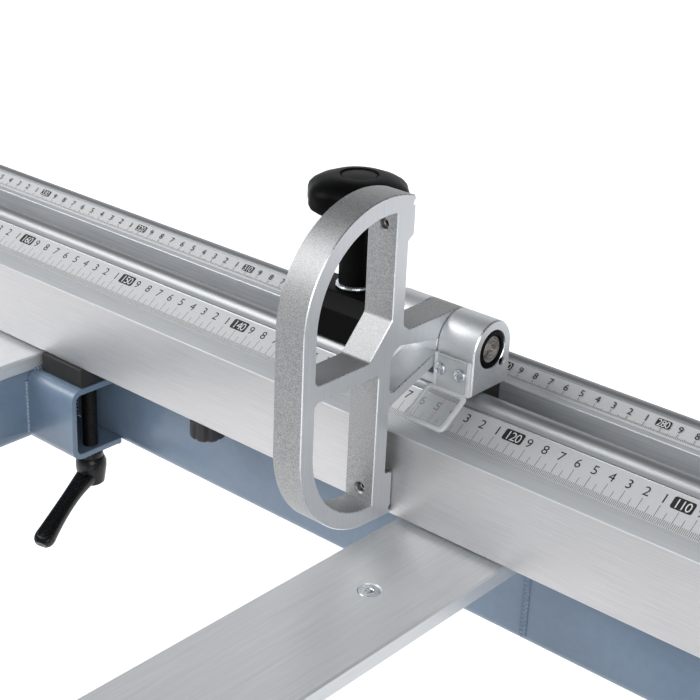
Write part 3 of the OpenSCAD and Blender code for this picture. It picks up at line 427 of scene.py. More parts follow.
@dataclass(frozen=True)
class Finish:
    """A surface finish: a shader with noise in its colour, roughness and relief.

    The noise is read on Object coordinates stretched by grain, and maps to colour from dark to light, to
    roughness from smooth to rough, and to relief in metres.
    """

    name: str
    dark: Colour
    light: Colour
    smooth: float = 0.3
    rough: float = 0.5
    metal: float = 0.0
    scale: float = 300.0
    relief: float = 0.0002
    depth: float = 0.3
    grain: Grain = Grain.EVEN
    coat: float = 0.0
    blotch: float = 0.0
    shine: float = 0.5
    solid: float = 1.0

    def material(self) -> bpy.types.Material:
        """The finish as a node material, made once."""
        found = bpy.data.materials.get(self.name)
        if found:
            return found
        made = bpy.data.materials.new(self.name)
        made.use_nodes = True
        nodes, links = made.node_tree.nodes, made.node_tree.links
        shader = nodes["Principled BSDF"]
        preset(shader, {"Metallic": self.metal, "Coat Weight": self.coat, "Coat Roughness": COAT_ROUGHNESS,
                        "IOR": IOR, "Specular IOR Level": self.shine, "Alpha": self.solid})
        where = add_node(nodes, "TexCoord").outputs["Object"]
        turn = add_node(nodes, "Mapping", {"Scale": self.grain.value})
        noise = add_node(nodes, "TexNoise", {"Scale": self.scale, "Detail": 4, "Roughness": 0.6})
        links.new(where, turn.inputs["Vector"])
        links.new(turn.outputs["Vector"], noise.inputs["Vector"])
        value = noise.outputs["Fac"]
        if self.blotch:
            large = add_node(nodes, "TexNoise", {"Scale": self.scale * 0.06, "Detail": 3})
            links.new(where, large.inputs["Vector"])
            blend = add_node(nodes, "Mix", {"Factor": self.blotch})
            links.new(value, blend.inputs[2])
            links.new(large.outputs["Fac"], blend.inputs[3])
            value = blend.outputs[0]
        tone = add_node(nodes, "ValToRGB")
        for element, at, colour in zip(tone.color_ramp.elements, (NOISE_LOW, NOISE_HIGH),
                                       (self.dark, self.light)):
            element.position, element.color = at, (*colour, 1)
        spread = add_node(nodes, "MapRange", {"From Min": NOISE_LOW, "From Max": NOISE_HIGH,
                                              "To Min": self.smooth, "To Max": self.rough})
        bump = add_node(nodes, "Bump", {"Distance": self.relief, "Strength": self.depth})
        for source, result, socket in ((tone.inputs["Fac"], tone.outputs["Color"], "Base Color"),
                                       (spread.inputs["Value"], spread.outputs["Result"], "Roughness"),
                                       (bump.inputs["Height"], bump.outputs["Normal"], "Normal")):
            links.new(value, source)
            links.new(result, shader.inputs[socket])
        return made


def grey(level: float, tint: float = 0.0) -> Colour:
    """A grey of that linear level; tint moves it towards blue."""
    return (level * (1 - tint), level, level * (1 + tint))


ANODISED = Finish("anodised_section", grey(0.64, 0.04), grey(0.78, 0.03), 0.38, 0.50, 0.5, 900, 0.00001, 0.15,
                  Grain.ALONG_X)
BRUSHED = Finish("brushed_face", (0.52, 0.515, 0.52), (0.64, 0.63, 0.635), 0.40, 0.52, 0.8, 1500, 0.00002,
                 0.3, Grain.ALONG_X)
BEAD = Finish("bright_bead", grey(0.32, 0.03), grey(0.39, 0.03), 0.38, 0.44, 0.65, 900, 0.000003, 0.1,
              Grain.ALONG_X)
# LAND_HIGHLIGHT is painted light: a lighter, more matt copy of the anodised section for the bright band along
# the land.
LAND_HIGHLIGHT = Finish("land_painted_highlight", grey(0.70, 0.03), grey(0.80, 0.03), 0.46, 0.56, 0.2, 1200, 0.00001, 0.2,
              Grain.ALONG_X)
RULER = Finish("ruler_strip", grey(0.62, 0.015), grey(0.74, 0.015), 0.45, 0.60, 0.15, 2600, 0.00003, 0.3)
INK = Finish("black_print", grey(0.008), grey(0.02), 0.4, 0.6, 0.0, 3000, 0.00001, 0.1)
TAG_PAPER = Finish("white_print", grey(0.75), grey(0.85), 0.4, 0.6, 0.0, 3000, 0.00001, 0.1)
BLASTED = Finish("blasted_alloy", grey(0.18, 0.01), grey(0.54, 0.01), 0.42, 0.58, 0.85, 2000, 0.00010, 0.5)
MILLED = Finish("milled_alloy", grey(0.76, 0.03), grey(0.84, 0.03), 0.34, 0.42, 0.55, 1600, 0.000005, 0.2,
                Grain.ALONG_Z)
BEVEL = Finish("bright_bevel", grey(0.74, 0.02), grey(0.82, 0.02), 0.24, 0.34, 1.0, 900, 0.00001, 0.1)
HINGE = Finish("hinge_alloy", grey(0.66, 0.03), grey(0.82, 0.02), 0.40, 0.56, 0.78, 1500, 0.00003, 0.3,
               blotch=0.35)
ZINC = Finish("zinc_plate", grey(0.70, 0.05), grey(0.82, 0.04), 0.20, 0.30, 0.85, 500, 0.000005, 0.15)
TURNED = Finish("turned_steel", (0.20, 0.175, 0.155), (0.52, 0.49, 0.46), 0.30, 0.50, 1.0, 700, 0.00006, 0.5)
DARK_STEEL = Finish("dark_steel", grey(0.03), grey(0.07), 0.35, 0.55, 0.9, 900, 0.00004, 0.4)
BLACK = Finish("black_plastic", grey(0.006), grey(0.014), 0.40, 0.55, 0.0, 1800, 0.00004, 0.3, shine=0.3)
GLOSS_BLACK = Finish("gloss_black", grey(0.003), grey(0.006), 0.22, 0.34, 0.0, 900, 0.00003, 0.3, shine=0.35)
SATIN_BLACK = Finish("satin_black", grey(0.0015), grey(0.004), 0.34, 0.46, 0.0, 1600, 0.00003, 0.25,
                     shine=0.05)
SPACER = Finish("black_block", grey(0.018), grey(0.040), 0.50, 0.65, 0.0, 1500, 0.00005, 0.3, shine=0.3)
RUBBER = Finish("belt_rubber", grey(0.012), grey(0.03), 0.6, 0.8, 0.0, 1200, 0.0001, 0.4)
BLUE = Finish("blue_enamel", (0.180, 0.255, 0.355), (0.220, 0.300, 0.410), 0.28, 0.40, 0.0, 160, 0.00012,
              0.22, coat=0.25, blotch=0.5)
# SHADE is painted shade: near-black for the faces inside the outrigger stubs, which lie in shadow.
SHADE = Finish("stub_painted_shade", (0.010, 0.013, 0.018), (0.018, 0.022, 0.030), 0.5, 0.7, 0.0, 500, 0.00004, 0.3,
               shine=0.2)
PALE = Finish("pale_enamel", (0.66, 0.68, 0.70), (0.74, 0.76, 0.78), 0.30, 0.42, 0.0, 220, 0.00010, 0.25,
              coat=0.2, blotch=0.4)
CAST = Finish("ground_iron", grey(0.22), grey(0.32), 0.46, 0.60, 0.9, 500, 0.00003, 0.35, Grain.ALONG_Y,
              blotch=0.3)
RAW_CAST = Finish("raw_casting", grey(0.16), grey(0.25), 0.50, 0.70, 0.7, 420, 0.0003, 0.5)
SECTION = Finish("table_section", grey(0.48, 0.02), grey(0.60, 0.02), 0.42, 0.54, 0.9, 900, 0.00002, 0.3,
                 Grain.ALONG_Y)
STRIP = Finish("support_strip", grey(0.80, 0.02), grey(0.90, 0.015), 0.36, 0.46, 0.45, 1100, 0.00001, 0.25,
               Grain.ALONG_Y)
CHROME = Finish("bright_steel", grey(0.62, 0.01), grey(0.74, 0.01), 0.12, 0.22, 1.0, 800, 0.00001, 0.2,
                Grain.ALONG_X)
SAW_STEEL = Finish("saw_steel", grey(0.50), grey(0.64), 0.24, 0.38, 1.0, 1300, 0.00003, 0.3)
CARBIDE = Finish("carbide_tip", grey(0.18), grey(0.28), 0.2, 0.3, 1.0, 900, 0.00001, 0.2)
GREEN = Finish("green_button", (0.01, 0.20, 0.04), (0.015, 0.26, 0.05), 0.3, 0.4, 0.0, 1500, 0.00003, 0.2)
RED = Finish("red_button", (0.42, 0.01, 0.01), (0.52, 0.015, 0.012), 0.3, 0.4, 0.0, 1500, 0.00003, 0.2)
YELLOW = Finish("yellow_ring", (0.72, 0.50, 0.02), (0.80, 0.56, 0.03), 0.35, 0.45, 0.0, 1500, 0.00003, 0.2)
CLEAR = Finish("clear_acrylic", (0.90, 0.93, 0.94), (0.95, 0.97, 0.98), 0.04, 0.10, 0.0, 500, 0.00001, 0.05,
               shine=0.8, solid=0.22)
# FROSTED_LIT is frosted acrylic with painted light: a near-opaque white for the light carried through the
# cursor's rims.
FROSTED_LIT = Finish("frosted_edge_painted_light", (0.90, 0.93, 0.95), (0.97, 0.98, 0.99), 0.25, 0.45, 0.0, 900, 0.00006, 0.4,
                 shine=0.8, solid=0.90)
# TAB_LIGHT is painted light: a lighter, half-opaque copy of the clear acrylic on the cursor's tab, for the
# light passing through it.
TAB_LIGHT = Finish("tab_painted_light", (0.86, 0.89, 0.90), (0.94, 0.96, 0.97), 0.10, 0.22, 0.0, 700, 0.00002, 0.2,
              shine=0.8, solid=0.55)
HAIRLINE = Finish("red_hairline", (0.50, 0.02, 0.02), (0.60, 0.03, 0.03), 0.4, 0.5, 0.0, 900, 0.00001, 0.1)


# --- view ---------------------------------------------------------------------------------------------------


@dataclass
class Studio:
    """Camera, lamps, world and floor of the close product view."""

    eye: Spot = (-536.3, -450.4, 1299.4)
    ahead: Spot = (-0.5886, 0.6969, -0.4098)
    right: Spot = (0.7517, 0.6583, 0.0398)
    lens: float = 79.446
    aim: Spot = (-1.0, 0.1, 0.9)
    sky: tuple[tuple[float, float], ...] = ((0.0, 0.95), (0.08, 0.80), (0.30, 0.36), (0.60, 0.16),
                                            (1.0, 0.12))
    floor_white: float = 0.8
    floor_glow: float = 0.84
    floor_half: float = 30.0

    def camera(self) -> None:
        """Places the camera: its columns are right, up and back."""
        data = bpy.data.cameras.new("camera")
        data.lens, data.sensor_width, data.sensor_fit = self.lens, 36.0, "HORIZONTAL"
        data.clip_start, data.clip_end = 0.01, 60.0
        view = link_object("camera", data)
        back = -Vector(self.ahead).normalized()
        side = Vector(self.right).normalized()
        up = back.cross(side).normalized()
        side = up.cross(back)
        place = Matrix((side, up, back)).transposed().to_4x4()
        place.translation = Vector(self.eye) * MM
        view.matrix_world = place
        bpy.context.scene.camera = view

    def lamp(self, name: str, at: Spot, size: tuple[float, float], power: float) -> None:
        """Adds an area lamp at a point, turned towards the aim."""
        data = bpy.data.lights.new(name, "AREA")
        data.shape, data.size, data.size_y, data.energy = "RECTANGLE", *size, power
        lamp = link_object(name, data)
        lamp.location = at
        lamp.rotation_euler = (Vector(self.aim) - Vector(at)).to_track_quat("-Z", "Y").to_euler()

    def lamps(self) -> None:
        """A broad key from the front left, a fill from the right and a wide light behind for level faces."""
        self.lamp("key", (-3.9, -2.4, 3.9), (3.0, 2.6), 146)
        self.lamp("fill", (2.6, -2.2, 2.4), (2.8, 2.2), 62)
        self.lamp("rear", (-3.0, 3.2, 2.6), (3.2, 1.6), 12)

    def world(self) -> None:
        """A near white horizon under a darker zenith, for every ray alike."""
        world = bpy.data.worlds.new("studio")
        bpy.context.scene.world = world
        world.use_nodes = True
        nodes, links = world.node_tree.nodes, world.node_tree.links
        where, split, tone = (add_node(nodes, kind) for kind in ("TexCoord", "SeparateXYZ", "ValToRGB"))
        ramp = tone.color_ramp
        while len(ramp.elements) < len(self.sky):
            ramp.elements.new(0.5)
        for element, (at, level) in zip(ramp.elements, self.sky):
            element.position = at
            element.color = (level * 0.97, level, level * 1.04, 1)
        links.new(where.outputs["Generated"], split.inputs[0])
        links.new(split.outputs["Z"], tone.inputs["Fac"])
        links.new(tone.outputs["Color"], nodes["Background"].inputs["Color"])

    def floor(self) -> None:
        """A pale floor that shows white where no shadow falls."""
        half = self.floor_half
        mesh = bpy.data.meshes.new("floor")
        corners = [(-half, -half, 0), (half, -half, 0), (half, half, 0), (-half, half, 0)]
        mesh.from_pydata(corners, [], [(0, 1, 2, 3)])
        floor = link_object("floor", mesh)
        paint = bpy.data.materials.new("floor_paint")
        paint.use_nodes = True
        nodes, links = paint.node_tree.nodes, paint.node_tree.links
        shader = nodes["Principled BSDF"]
        preset(shader, {"Base Color": (*(self.floor_white,) * 3, 1), "Roughness": 0.9,
                        "Specular IOR Level": 0.1, "Emission Color": (1, 1, 1, 1)})
        ray = add_node(nodes, "LightPath")
        seen = ray.outputs["Is Camera Ray"]
        for kind in ("Is Glossy Ray", "Is Transmission Ray"):
            either = add_node(nodes, "Math")
            either.operation = "MAXIMUM"
            links.new(seen, either.inputs[0])
            links.new(ray.outputs[kind], either.inputs[1])
            seen = either.outputs[0]
        glow = add_node(nodes, "Math")
        glow.operation = "MULTIPLY"
        glow.inputs[1].default_value = self.floor_glow
        links.new(seen, glow.inputs[0])
        links.new(glow.outputs[0], shader.inputs["Emission Strength"])
        mesh.materials.append(paint)

    def build(self) -> None:
        """Sets the colour view and makes the whole studio."""
        bpy.context.scene.view_settings.view_transform = "Standard"
        self.camera()
        self.lamps()
        self.world()
        self.floor()


# --- fence --------------------------------------------------------------------------------------------------


def sunk(low: tuple[float, float], high: tuple[float, float], down: np.ndarray) -> Outline:
    """The two ends of a ruler's seat, moved down into the section."""
    return [tuple(np.array(low) + down), tuple(np.array(high) + down)]


@dataclass
class Fence:
    """Cross-cut fence section with its telescopic bar, in the fence's own frame."""

    x0: float = -600.0
    x1: float = 1250.0
    face_y: float = -28.667
    low: float = -57.006
    land: tuple[float, float] = (-12.567, -8.006)
    scale_top: tuple[float, float] = (4.554, 2.901)
    bead: Circle = (12.154, 2.901, 7.0)
    slot: tuple[float, float] = (19.154, 38.654)
    lip: float = -10.0
    slot_floor: float = -22.0
    undercut: float = 5.5
    rear_lip: float = 7.1
    rear_low: tuple[float, float] = (43.354, 7.1)
    rear_top: tuple[float, float] = (52.447, 13.467)
    rear_bead: Circle = (57.747, 8.867, 6.0)
    sink: float = 0.8
    hollow: tuple[float, float, float, float] = (-5.167, 57.747, -51.0, -27.0)
    foot: tuple[float, float, float, float, float] = (-19.167, 10.5, 15.0, 5.0, 7.0)

    def outline(self) -> Outline:
        """The section's outer line from the front's lower edge, up and over the two beads, and back below."""
        lean, rear_lean = radians(32.5), radians(35)
        down = np.array([sin(lean), -cos(lean)]) * self.sink
        rear_down = np.array([sin(rear_lean), -cos(rear_lean)]) * self.sink
        by, bz, br = self.bead
        ry, rz, rr = self.rear_bead
        fy, mouth, head, lip, deep = self.foot
        s0, s1 = self.slot
        line: Outline = arc(self.face_y + 0.8, self.land[1] - 0.8, 0.8, 180, 90, 4)
        line += [self.land, *sunk(self.land, self.scale_top, down), (by - br * 0.93, bz + 0.2)]
        line += arc(by, bz, br, 172, 20, 16)
        line += [(s0 - 0.2, bz - 0.4), (s0, bz - 1.5), (s0, self.lip + 0.4), (s0 - 0.4, self.lip),
                 (s0 - self.undercut, self.lip), (s0 - self.undercut, self.slot_floor),
                 (s1 + self.undercut, self.slot_floor), (s1 + self.undercut, self.lip), (s1, self.lip)]
        line += arc(s1 + 0.7, self.rear_lip - 0.7, 0.7, 180, 90, 4)
        line += [self.rear_low, *sunk(self.rear_low, self.rear_top, rear_down), (ry - rr + 0.15, rz + 3.2)]
        line += arc(ry, rz, rr, 140, 0, 14)
        line += arc(ry + rr - 0.8, self.low + 0.8, 0.8, 0, -90, 4)
        line += [(fy + mouth / 2, self.low), (fy + mouth / 2, self.low + lip),
                 (fy + head / 2, self.low + lip), (fy + head / 2, self.low + lip + deep),
                 (fy - head / 2, self.low + lip + deep), (fy - head / 2, self.low + lip),
                 (fy - mouth / 2, self.low + lip), (fy - mouth / 2, self.low)]
        line += arc(self.face_y + 0.8, self.low + 0.8, 0.8, 270, 180, 4)
        return line

    def section(self) -> None:
        """The long section with its hollow, its front brushed and its beads bright."""
        shell = Shell().prism(self.outline(), self.x0, self.x1, Axis.X, 0.0, (rectangle(*self.hollow),))
        piece = add_piece("fence_section", shell, FENCE_BODY, [ANODISED, BRUSHED, BEAD, LAND_HIGHLIGHT],
                          ("fence_profile",), FENCE)
        remark(piece, self.worked, FENCE)

    def worked(self, centre: np.ndarray, normal: np.ndarray) -> np.ndarray:
        """Picks 1, brushed, for the front, 2 for the beads, 3 for the land over the front, 0 for the rest; 3
        is a lighter, matt copy of the section's finish, painted light for the bright band on the land.
        """
        y, z = centre[:, 1:].T
        front = normal[:, 1] < -0.9
        marks = np.where(front & (y < self.face_y + 1), 1, 0)
        for bead_y, bead_z, r in (self.bead, self.rear_bead):
            marks[(np.hypot(y - bead_y, z - bead_z) < r + 0.4) & (z > 1)] = 2
        marks[(y < self.land[0] + 0.6) & (np.abs(z - self.land[1]) < 0.9) & (normal[:, 1] > -0.9)] = 3
        return marks

    def end_cap(self) -> None:
        """Black end cap with a rounded outline."""
        shell = Shell().prism(rectangle(self.face_y, 63.747, self.low, -8.0, 3, 6), self.x1, self.x1 + 4,
                              Axis.X, 0.8)
        add_piece("fence_cap", shell, FENCE_BODY, [BLACK], ("fence_end_cap",), FENCE)

    def build(self) -> None:
        """Builds the section and its cap."""
        self.section()
        self.end_cap()


@dataclass
class Ruler:
    """Printed ruler along one strip: ticks, digits and tags as thin prints just above the strip.

    A point at distance s up the slope from the tag line (y, z) lies at (x, y + s cos a - h sin a,
    z + s sin a + h cos a), with h its height above the strip.
    """

    name: str
    y: float
    z: float
    slope: float
    reading_zero: float
    edge: float
    marks: tuple[float, float, float]
    digit: float
    tag: tuple[float, float]
    x0: float = -598.0
    x1: float = 1248.0
    lift: float = 0.06
    tick: float = 0.11
    digit_step: float = 0.62
    font_height: float = 0.70

    def place(self, x: np.ndarray, s: np.ndarray, h: float) -> np.ndarray:
        """Points on the slope at x, s and height h."""
        a = radians(self.slope)
        return np.stack([x, self.y + s * cos(a) - h * sin(a), self.z + s * sin(a) + h * cos(a)], -1)

    def glyphs(self) -> dict[str, tuple[np.ndarray, np.ndarray]]:
        """Each digit's flat triangles, drawn once by the text tool and centred on its own width."""
        found = {}
        for sign in "0123456789":
            curve = bpy.data.curves.new("digit", "FONT")
            curve.body, curve.size, curve.resolution_u = sign, 1.0, 3
            temp = link_object("digit", curve)
            bpy.context.view_layer.update()
            mesh = bpy.data.meshes.new_from_object(temp)
            mesh.calc_loop_triangles()
            points = np.zeros(len(mesh.vertices) * 3)
            mesh.vertices.foreach_get("co", points)
            tris = np.zeros(len(mesh.loop_triangles) * 3, np.int32)
            mesh.loop_triangles.foreach_get("vertices", tris)
            flat = points.reshape(-1, 3)[:, :2]
            flat[:, 0] -= (flat[:, 0].min() + flat[:, 0].max()) / 2
            found[sign] = (flat / self.font_height, tris.reshape(-1, 3))
            bpy.data.objects.remove(temp)
        return found

    def word(self, shell: Shell, glyphs: dict[str, tuple[np.ndarray, np.ndarray]], text: str, x: float,
             height: float, narrow: float, lift: float, mark: int) -> None:
        """Sets a number centred on x, whose digits step by a fixed share of their height."""
        pitch = height * self.digit_step * narrow
        for k, sign in enumerate(text):
            flat, tris = glyphs[sign]
            u = x + (k - (len(text) - 1) / 2) * pitch + flat[:, 0] * height * narrow
            shell.add(self.place(u, (flat[:, 1] - 0.5) * height, lift), tris, mark)

    def build(self, body: str) -> None:
        """Prints the ticks as one array of quads, then the digits and the tags."""
        shell = Shell()
        whole = np.arange(np.ceil(self.reading(self.x1) * 10), np.floor(self.reading(self.x0) * 10) + 1)
        x = self.reading_zero - whole
        top = np.where(whole % 10 == 0, self.marks[0], np.where(whole % 5 == 0, self.marks[1], self.marks[2]))
        foot = np.full_like(x, self.edge)
        corners = ((-self.tick, foot), (self.tick, foot), (self.tick, top), (-self.tick, top))
        quad = np.stack([self.place(x + side, s, self.lift) for side, s in corners], 1)
        shell.add(quad, np.arange(len(x) * 4).reshape(-1, 4), 0)
        glyphs = self.glyphs()
        for cm in whole[whole % 10 == 0].astype(int) // 10:
            at = self.reading_zero - cm * 10
            if cm % 10 or abs(at - self.x0) < 8 or abs(at - self.x1) < 8:
                self.word(shell, glyphs, str(cm % 10), at, self.digit, 1.0, self.lift, 0)
                continue
            w, h = self.tag
            plate = np.array(rectangle(-w / 2, w / 2, -h / 2, h / 2, 0.18 * h, 4))
            fan = np.stack([np.zeros(len(plate) - 2, int), np.arange(1, len(plate) - 1),
                            np.arange(2, len(plate))], 1)
            shell.add(self.place(at + plate[:, 0], plate[:, 1], self.lift), fan, 0)
            self.word(shell, glyphs, str(cm), at, self.digit, 0.92, self.lift + 0.05, 1)
        piece = add_piece(self.name, shell, body, [INK, TAG_PAPER], (), FENCE)
        self.face_up(piece)

    def face_up(self, piece: bpy.types.Object) -> None:
        """Turns every print's face upwards."""
        work = bmesh.new()
        work.from_mesh(piece.data)
        bmesh.ops.reverse_faces(work, faces=[f for f in work.faces if f.normal.z < 0])
        work.to_mesh(piece.data)
        work.free()

    def reading(self, x: float) -> float:
        """The ruler's reading in centimetres at a place x."""
        return (self.reading_zero - x) / 10


def socket_screw(x: float, y0: float, y1: float, z: float, r: float, key: float) -> Shell:
    """A grub screw along Y with a hexagon socket in its end at y0."""
    hexagon = ring(x, z, key, 6)
    shell = Shell().prism(ring(x, z, r, 24), y0, y0 + 2.2, Axis.Y, 0.25, (hexagon,))
    return shell.prism(ring(x, z, r, 24), y0 + 2.2, y1, Axis.Y)


def pan_screw(centre: Spot, r: float, height: float, axis: Axis, toward: float = 1.0,
              steps: int = 48) -> Shell:
    """A pan-head screw with a crossed slot, as one height function over its head.

    The height at radius q is h (1 - 0.30 (q / r)^2) with a round edge, less 0.6 h where the nearer of the two
    crossed lines is under 0.17 r away and q is under 0.64 r.
    """
    q = np.concatenate([np.linspace(0, 1, 22), [1.0]]) * r
    turn = np.linspace(0, 2 * pi, steps, endpoint=False)
    u, v = q[:, None] * np.cos(turn), q[:, None] * np.sin(turn)
    top = height * (1 - 0.30 * (q / r) ** 2 - 0.35 * np.clip(q / r - 0.82, 0, 1) ** 2 / 0.03)[:, None] + 0 * u
    near = np.minimum(np.abs(u), np.abs(v))
    slot = np.clip((0.17 * r - near) / (0.06 * r), 0, 1) * np.clip((0.64 * r - q) / (0.05 * r), 0, 1)[:, None]
    top = np.clip(top - 0.6 * height * slot, 0.02, None)
    top[-1] = 0.0
    local = np.stack([u, v, toward * top], -1)
    return Shell().grid(local[..., np.argsort(axis.value)] + np.array(centre), True)


@dataclass
class FlipStop:
    """Stop that folds up off the fence: plate, hinge, cursor, clamp block and knob, in the fence's frame."""

    plate_x: tuple[float, float] = (25.2, 44.2)
    pad_y: float = -28.967
    bar_y: float = -34.767
    top_bar_y: float = -26.167
    bar: float = 9.6
    axis: tuple[float, float] = (19.4, 33.301)
    barrel: float = 16.3
    head: Circle = (-42.3, 66.0, 60.0)
    foot: Circle = (-46.0, 1.0, 56.3)
    waist: float = 40.0
    base_z: float = 10.301
    right_block: tuple[float, float] = (44.5, 69.0)
    left_block: tuple[float, float] = (4.9, 24.9)
    clamp_x: tuple[float, float] = (-65.0, -8.0)
    clamp_top: float = 36.0
    slot_mid: float = 28.904
    slot: tuple[float, float] = (19.154, 38.654)
    bush: tuple[float, float] = (7.6, 10.5)
    tapped: tuple[float, float] = (9.2, -9.5)
    lens_slope: float = 32.5
    lens_size: tuple[float, float] = (2.5, 25.0)
    screw_x: tuple[float, float] = (5.0, 18.5)
    screw_z: float = 22.2

    def plate_outline(self) -> tuple[Outline, tuple[Outline, ...]]:
        """The D-shaped ring's outer line, and its three windows and shaft hole, seen along X."""
        ay, az = self.axis
        hy, hz, hr = self.head
        fy, fz, fr = self.foot
        left = fy - fr
        outer: Outline = [(self.pad_y - 0.8, -56.306), (self.pad_y, -55.5)]
        outer += arc(self.pad_y, -52.7, 1.3, -90, -270, 8)
        outer += fillet([(self.pad_y, -40), (self.pad_y, -31), (self.bar_y, -30), (self.bar_y, -20)],
                        {1: 1.0, 2: 1.0}, 3)
        outer += [(self.bar_y, 6.0), (self.bar_y + 0.6, 8.0), (self.bar_y + 2.2, 9.4)]
        outer += arc(ay, az, self.barrel, -141.5, 90, 36)
        outer += arc(self.top_bar_y + 6, az + self.barrel + 6, 6, -90, -180, 6)
        outer += [(self.top_bar_y, 99), (self.pad_y + 7, 102), (self.pad_y + 7, 115)]
        outer += arc(self.pad_y + 7, 118.6, 1.5, -90, -270, 8) + [(self.pad_y + 6.6, 121.6)]
        outer += arc(hy, hz, hr, 71, 180, 44) + arc(fy, fz, fr, 180, 268, 36)
        near, far, sill = self.bar_y - self.bar, left + self.bar, self.waist - self.bar
        low = fillet([(near, sill), (far, sill), (far, fz), (near, fz)], {0: 2.5, 1: 3.0}, 5)[:-2]
        low += arc(fy, fz, fr - self.bar, 180, 271.5, 36)
        near = self.top_bar_y - self.bar
        corners = [(far, self.waist), (-52.8, self.waist), (near, 58.4), (near, 90), (far, 90)]
        high = fillet(corners, {0: 3.0, 1: 3.0, 2: 4.0}, 5)[:-2]
        high += arc(hy, hz, hr - self.bar, 82.6, 180, 40)
        gap = fillet([(self.bar_y, 30), (self.bar_y, 15.95), (3.6, 29.32)], {1: 2.5}, 5)[1:]
        gap += arc(ay, az, self.barrel, 194.1, 169.3, 4) + arc(self.bar_y + 8, 34, 8, 90, 180, 8)
        return outer, (low, high, gap, ring(ay, az, 7.7, 36))

    def plate(self) -> None:
        """The cut plate: blasted walls, bright bevels, milled faces, and two set screws in their bores."""
        outer, windows = self.plate_outline()
        shell = Shell().prism(outer, *self.plate_x, Axis.X, 0.45, windows, (0, 1, 2))
        # The fourth finish, HINGE, paints light onto the shaded walls of the gap under the arm.
        piece = add_piece("flip_plate", shell, "flip", [BLASTED, BEVEL, MILLED, HINGE],
                          ("stop_plate",), FENCE, 30)
        remark(piece, self.walls, FENCE)
        screws = Shell()
        x = self.plate_x[1] - 9
        for z, wall in ((-38.2, self.bar_y - self.bar), (108.2, self.top_bar_y - self.bar)):
            bore = [(0, 6), (2.75, 6), (2.75, 0.7), (3.55, -0.1), (3.55, -2), (0, -2)]
            carve(piece, Shell().lathe(bore, (x, wall, z), Axis.Y, 28), FENCE, 30)
            screws.join(socket_screw(x, wall + 2.6, wall + 5.8, z, 2.7, 1.5))
        add_piece("set_screws", screws, "flip", [TURNED], ("stop_set_screws",), FENCE)

    def walls(self, centre: np.ndarray, normal: np.ndarray) -> np.ndarray:
        """Picks 2, milled, for the flats, 1 for bevels, 0 for other walls, and 3 for the walls in the gap
        under the arm, whose lighter hinge alloy is painted light in that shaded gap.
        """
        y, z = centre[:, 1:].T
        across = np.abs(normal[:, 0])
        open_side = (normal[:, 2] > -0.3) | (z > 30.0)
        # The gap's walls lie in shade; mark 3 paints them lighter, as painted light for what they reflect.
        gap = (y > self.bar_y - 0.5) & (y < 4.0) & (z > 15.5) & (z < 42.5) & open_side
        return np.where(across > 0.95, 2, np.where(across > 0.3, 1, np.where(gap, 3, 0)))

    def hinge(self) -> None:
        """The bright block with its two barrels, a threaded hole, black bushes and the turned shaft."""
        ay, az = self.axis
        r, (inner, outer) = self.barrel, self.bush
        d_shape = [(ay - r, self.base_z), (ay + r, self.base_z)] + arc(ay, az, r, 0, 180, 32)
        shell = Shell()
        for block, edge in ((self.right_block, 0.7), (self.left_block, 0.6)):
            shell.prism(d_shape, *block, Axis.X, edge, (ring(ay, az, outer, 40),), (0, 1, 0))
        shell.prism(rectangle(ay - r, ay + r, self.base_z, self.base_z + 6, 0.6, 2), self.clamp_x[1],
                    self.right_block[0] + 1, Axis.X, 0.4)
        piece = add_piece("hinge_body", shell, "stop", [HINGE, BEVEL], ("hinge_block",),
                          FENCE, 30)
        end = self.right_block[1]
        hole = (end, ay + self.tapped[0], az + self.tapped[1])
        bore = [(0, -11), (2.3, -11), (2.3, -0.3), (2.6, 0.1), (2.6, 2), (0, 2)]
        carve(piece, Shell().lathe(bore, hole, Axis.X, 28), FENCE, 30)
        bushes = Shell()
        for low, high in (self.left_block, self.right_block):
            bush = [(inner, low), (outer, low), (outer, high - 0.3), (outer - 0.4, high), (inner + 0.5, high),
                    (inner, high - 0.5), (inner, low)]
            bushes.lathe(bush, (0, ay, az), Axis.X, 48)
        grub = [(0, -10.8), (2.25, -10.8), (2.25, -1.2), (1.3, -1.2), (1.3, -3.4), (0, -3.4)]
        bushes.lathe(grub, hole, Axis.X, 24)
        add_piece("black_bushes", bushes, "stop", [SATIN_BLACK], ("hinge_bushes",), FENCE)
        x = end - 0.6
        q = np.linspace(0.9, 6.9, 30)
        face = list(zip(q, x - 0.35 + 0.10 * np.sin(q * 9.0)))
        profile = [(0.0, x - 1.6)] + face + [(7.2, x - 0.3), (7.5, x - 0.6), (7.5, 5.3), (7.1, 5.0), (0, 5.0)]
        add_piece("turned_shaft", Shell().lathe(profile, (0, ay, az), Axis.X, 48), "flip", [TURNED],
                  ("hinge_shaft",), FENCE)

    def cursor(self) -> None:
        """Clear cursor: a tab and a window down the slope, with thick frosted rims and a red line; the rims'
        near-white and the tab's lighter middle are painted light for the light the acrylic carries.
        """
        x0, x1 = self.right_block[0] + 0.2, self.right_block[1] - 0.3
        left, gap = x0 - 2.4, 0.15
        rim, length = self.lens_size
        slope = radians(self.lens_slope)
        tab = rectangle(0.6, 3.1 - gap, 11.5, 30.5, 0.5, 2)
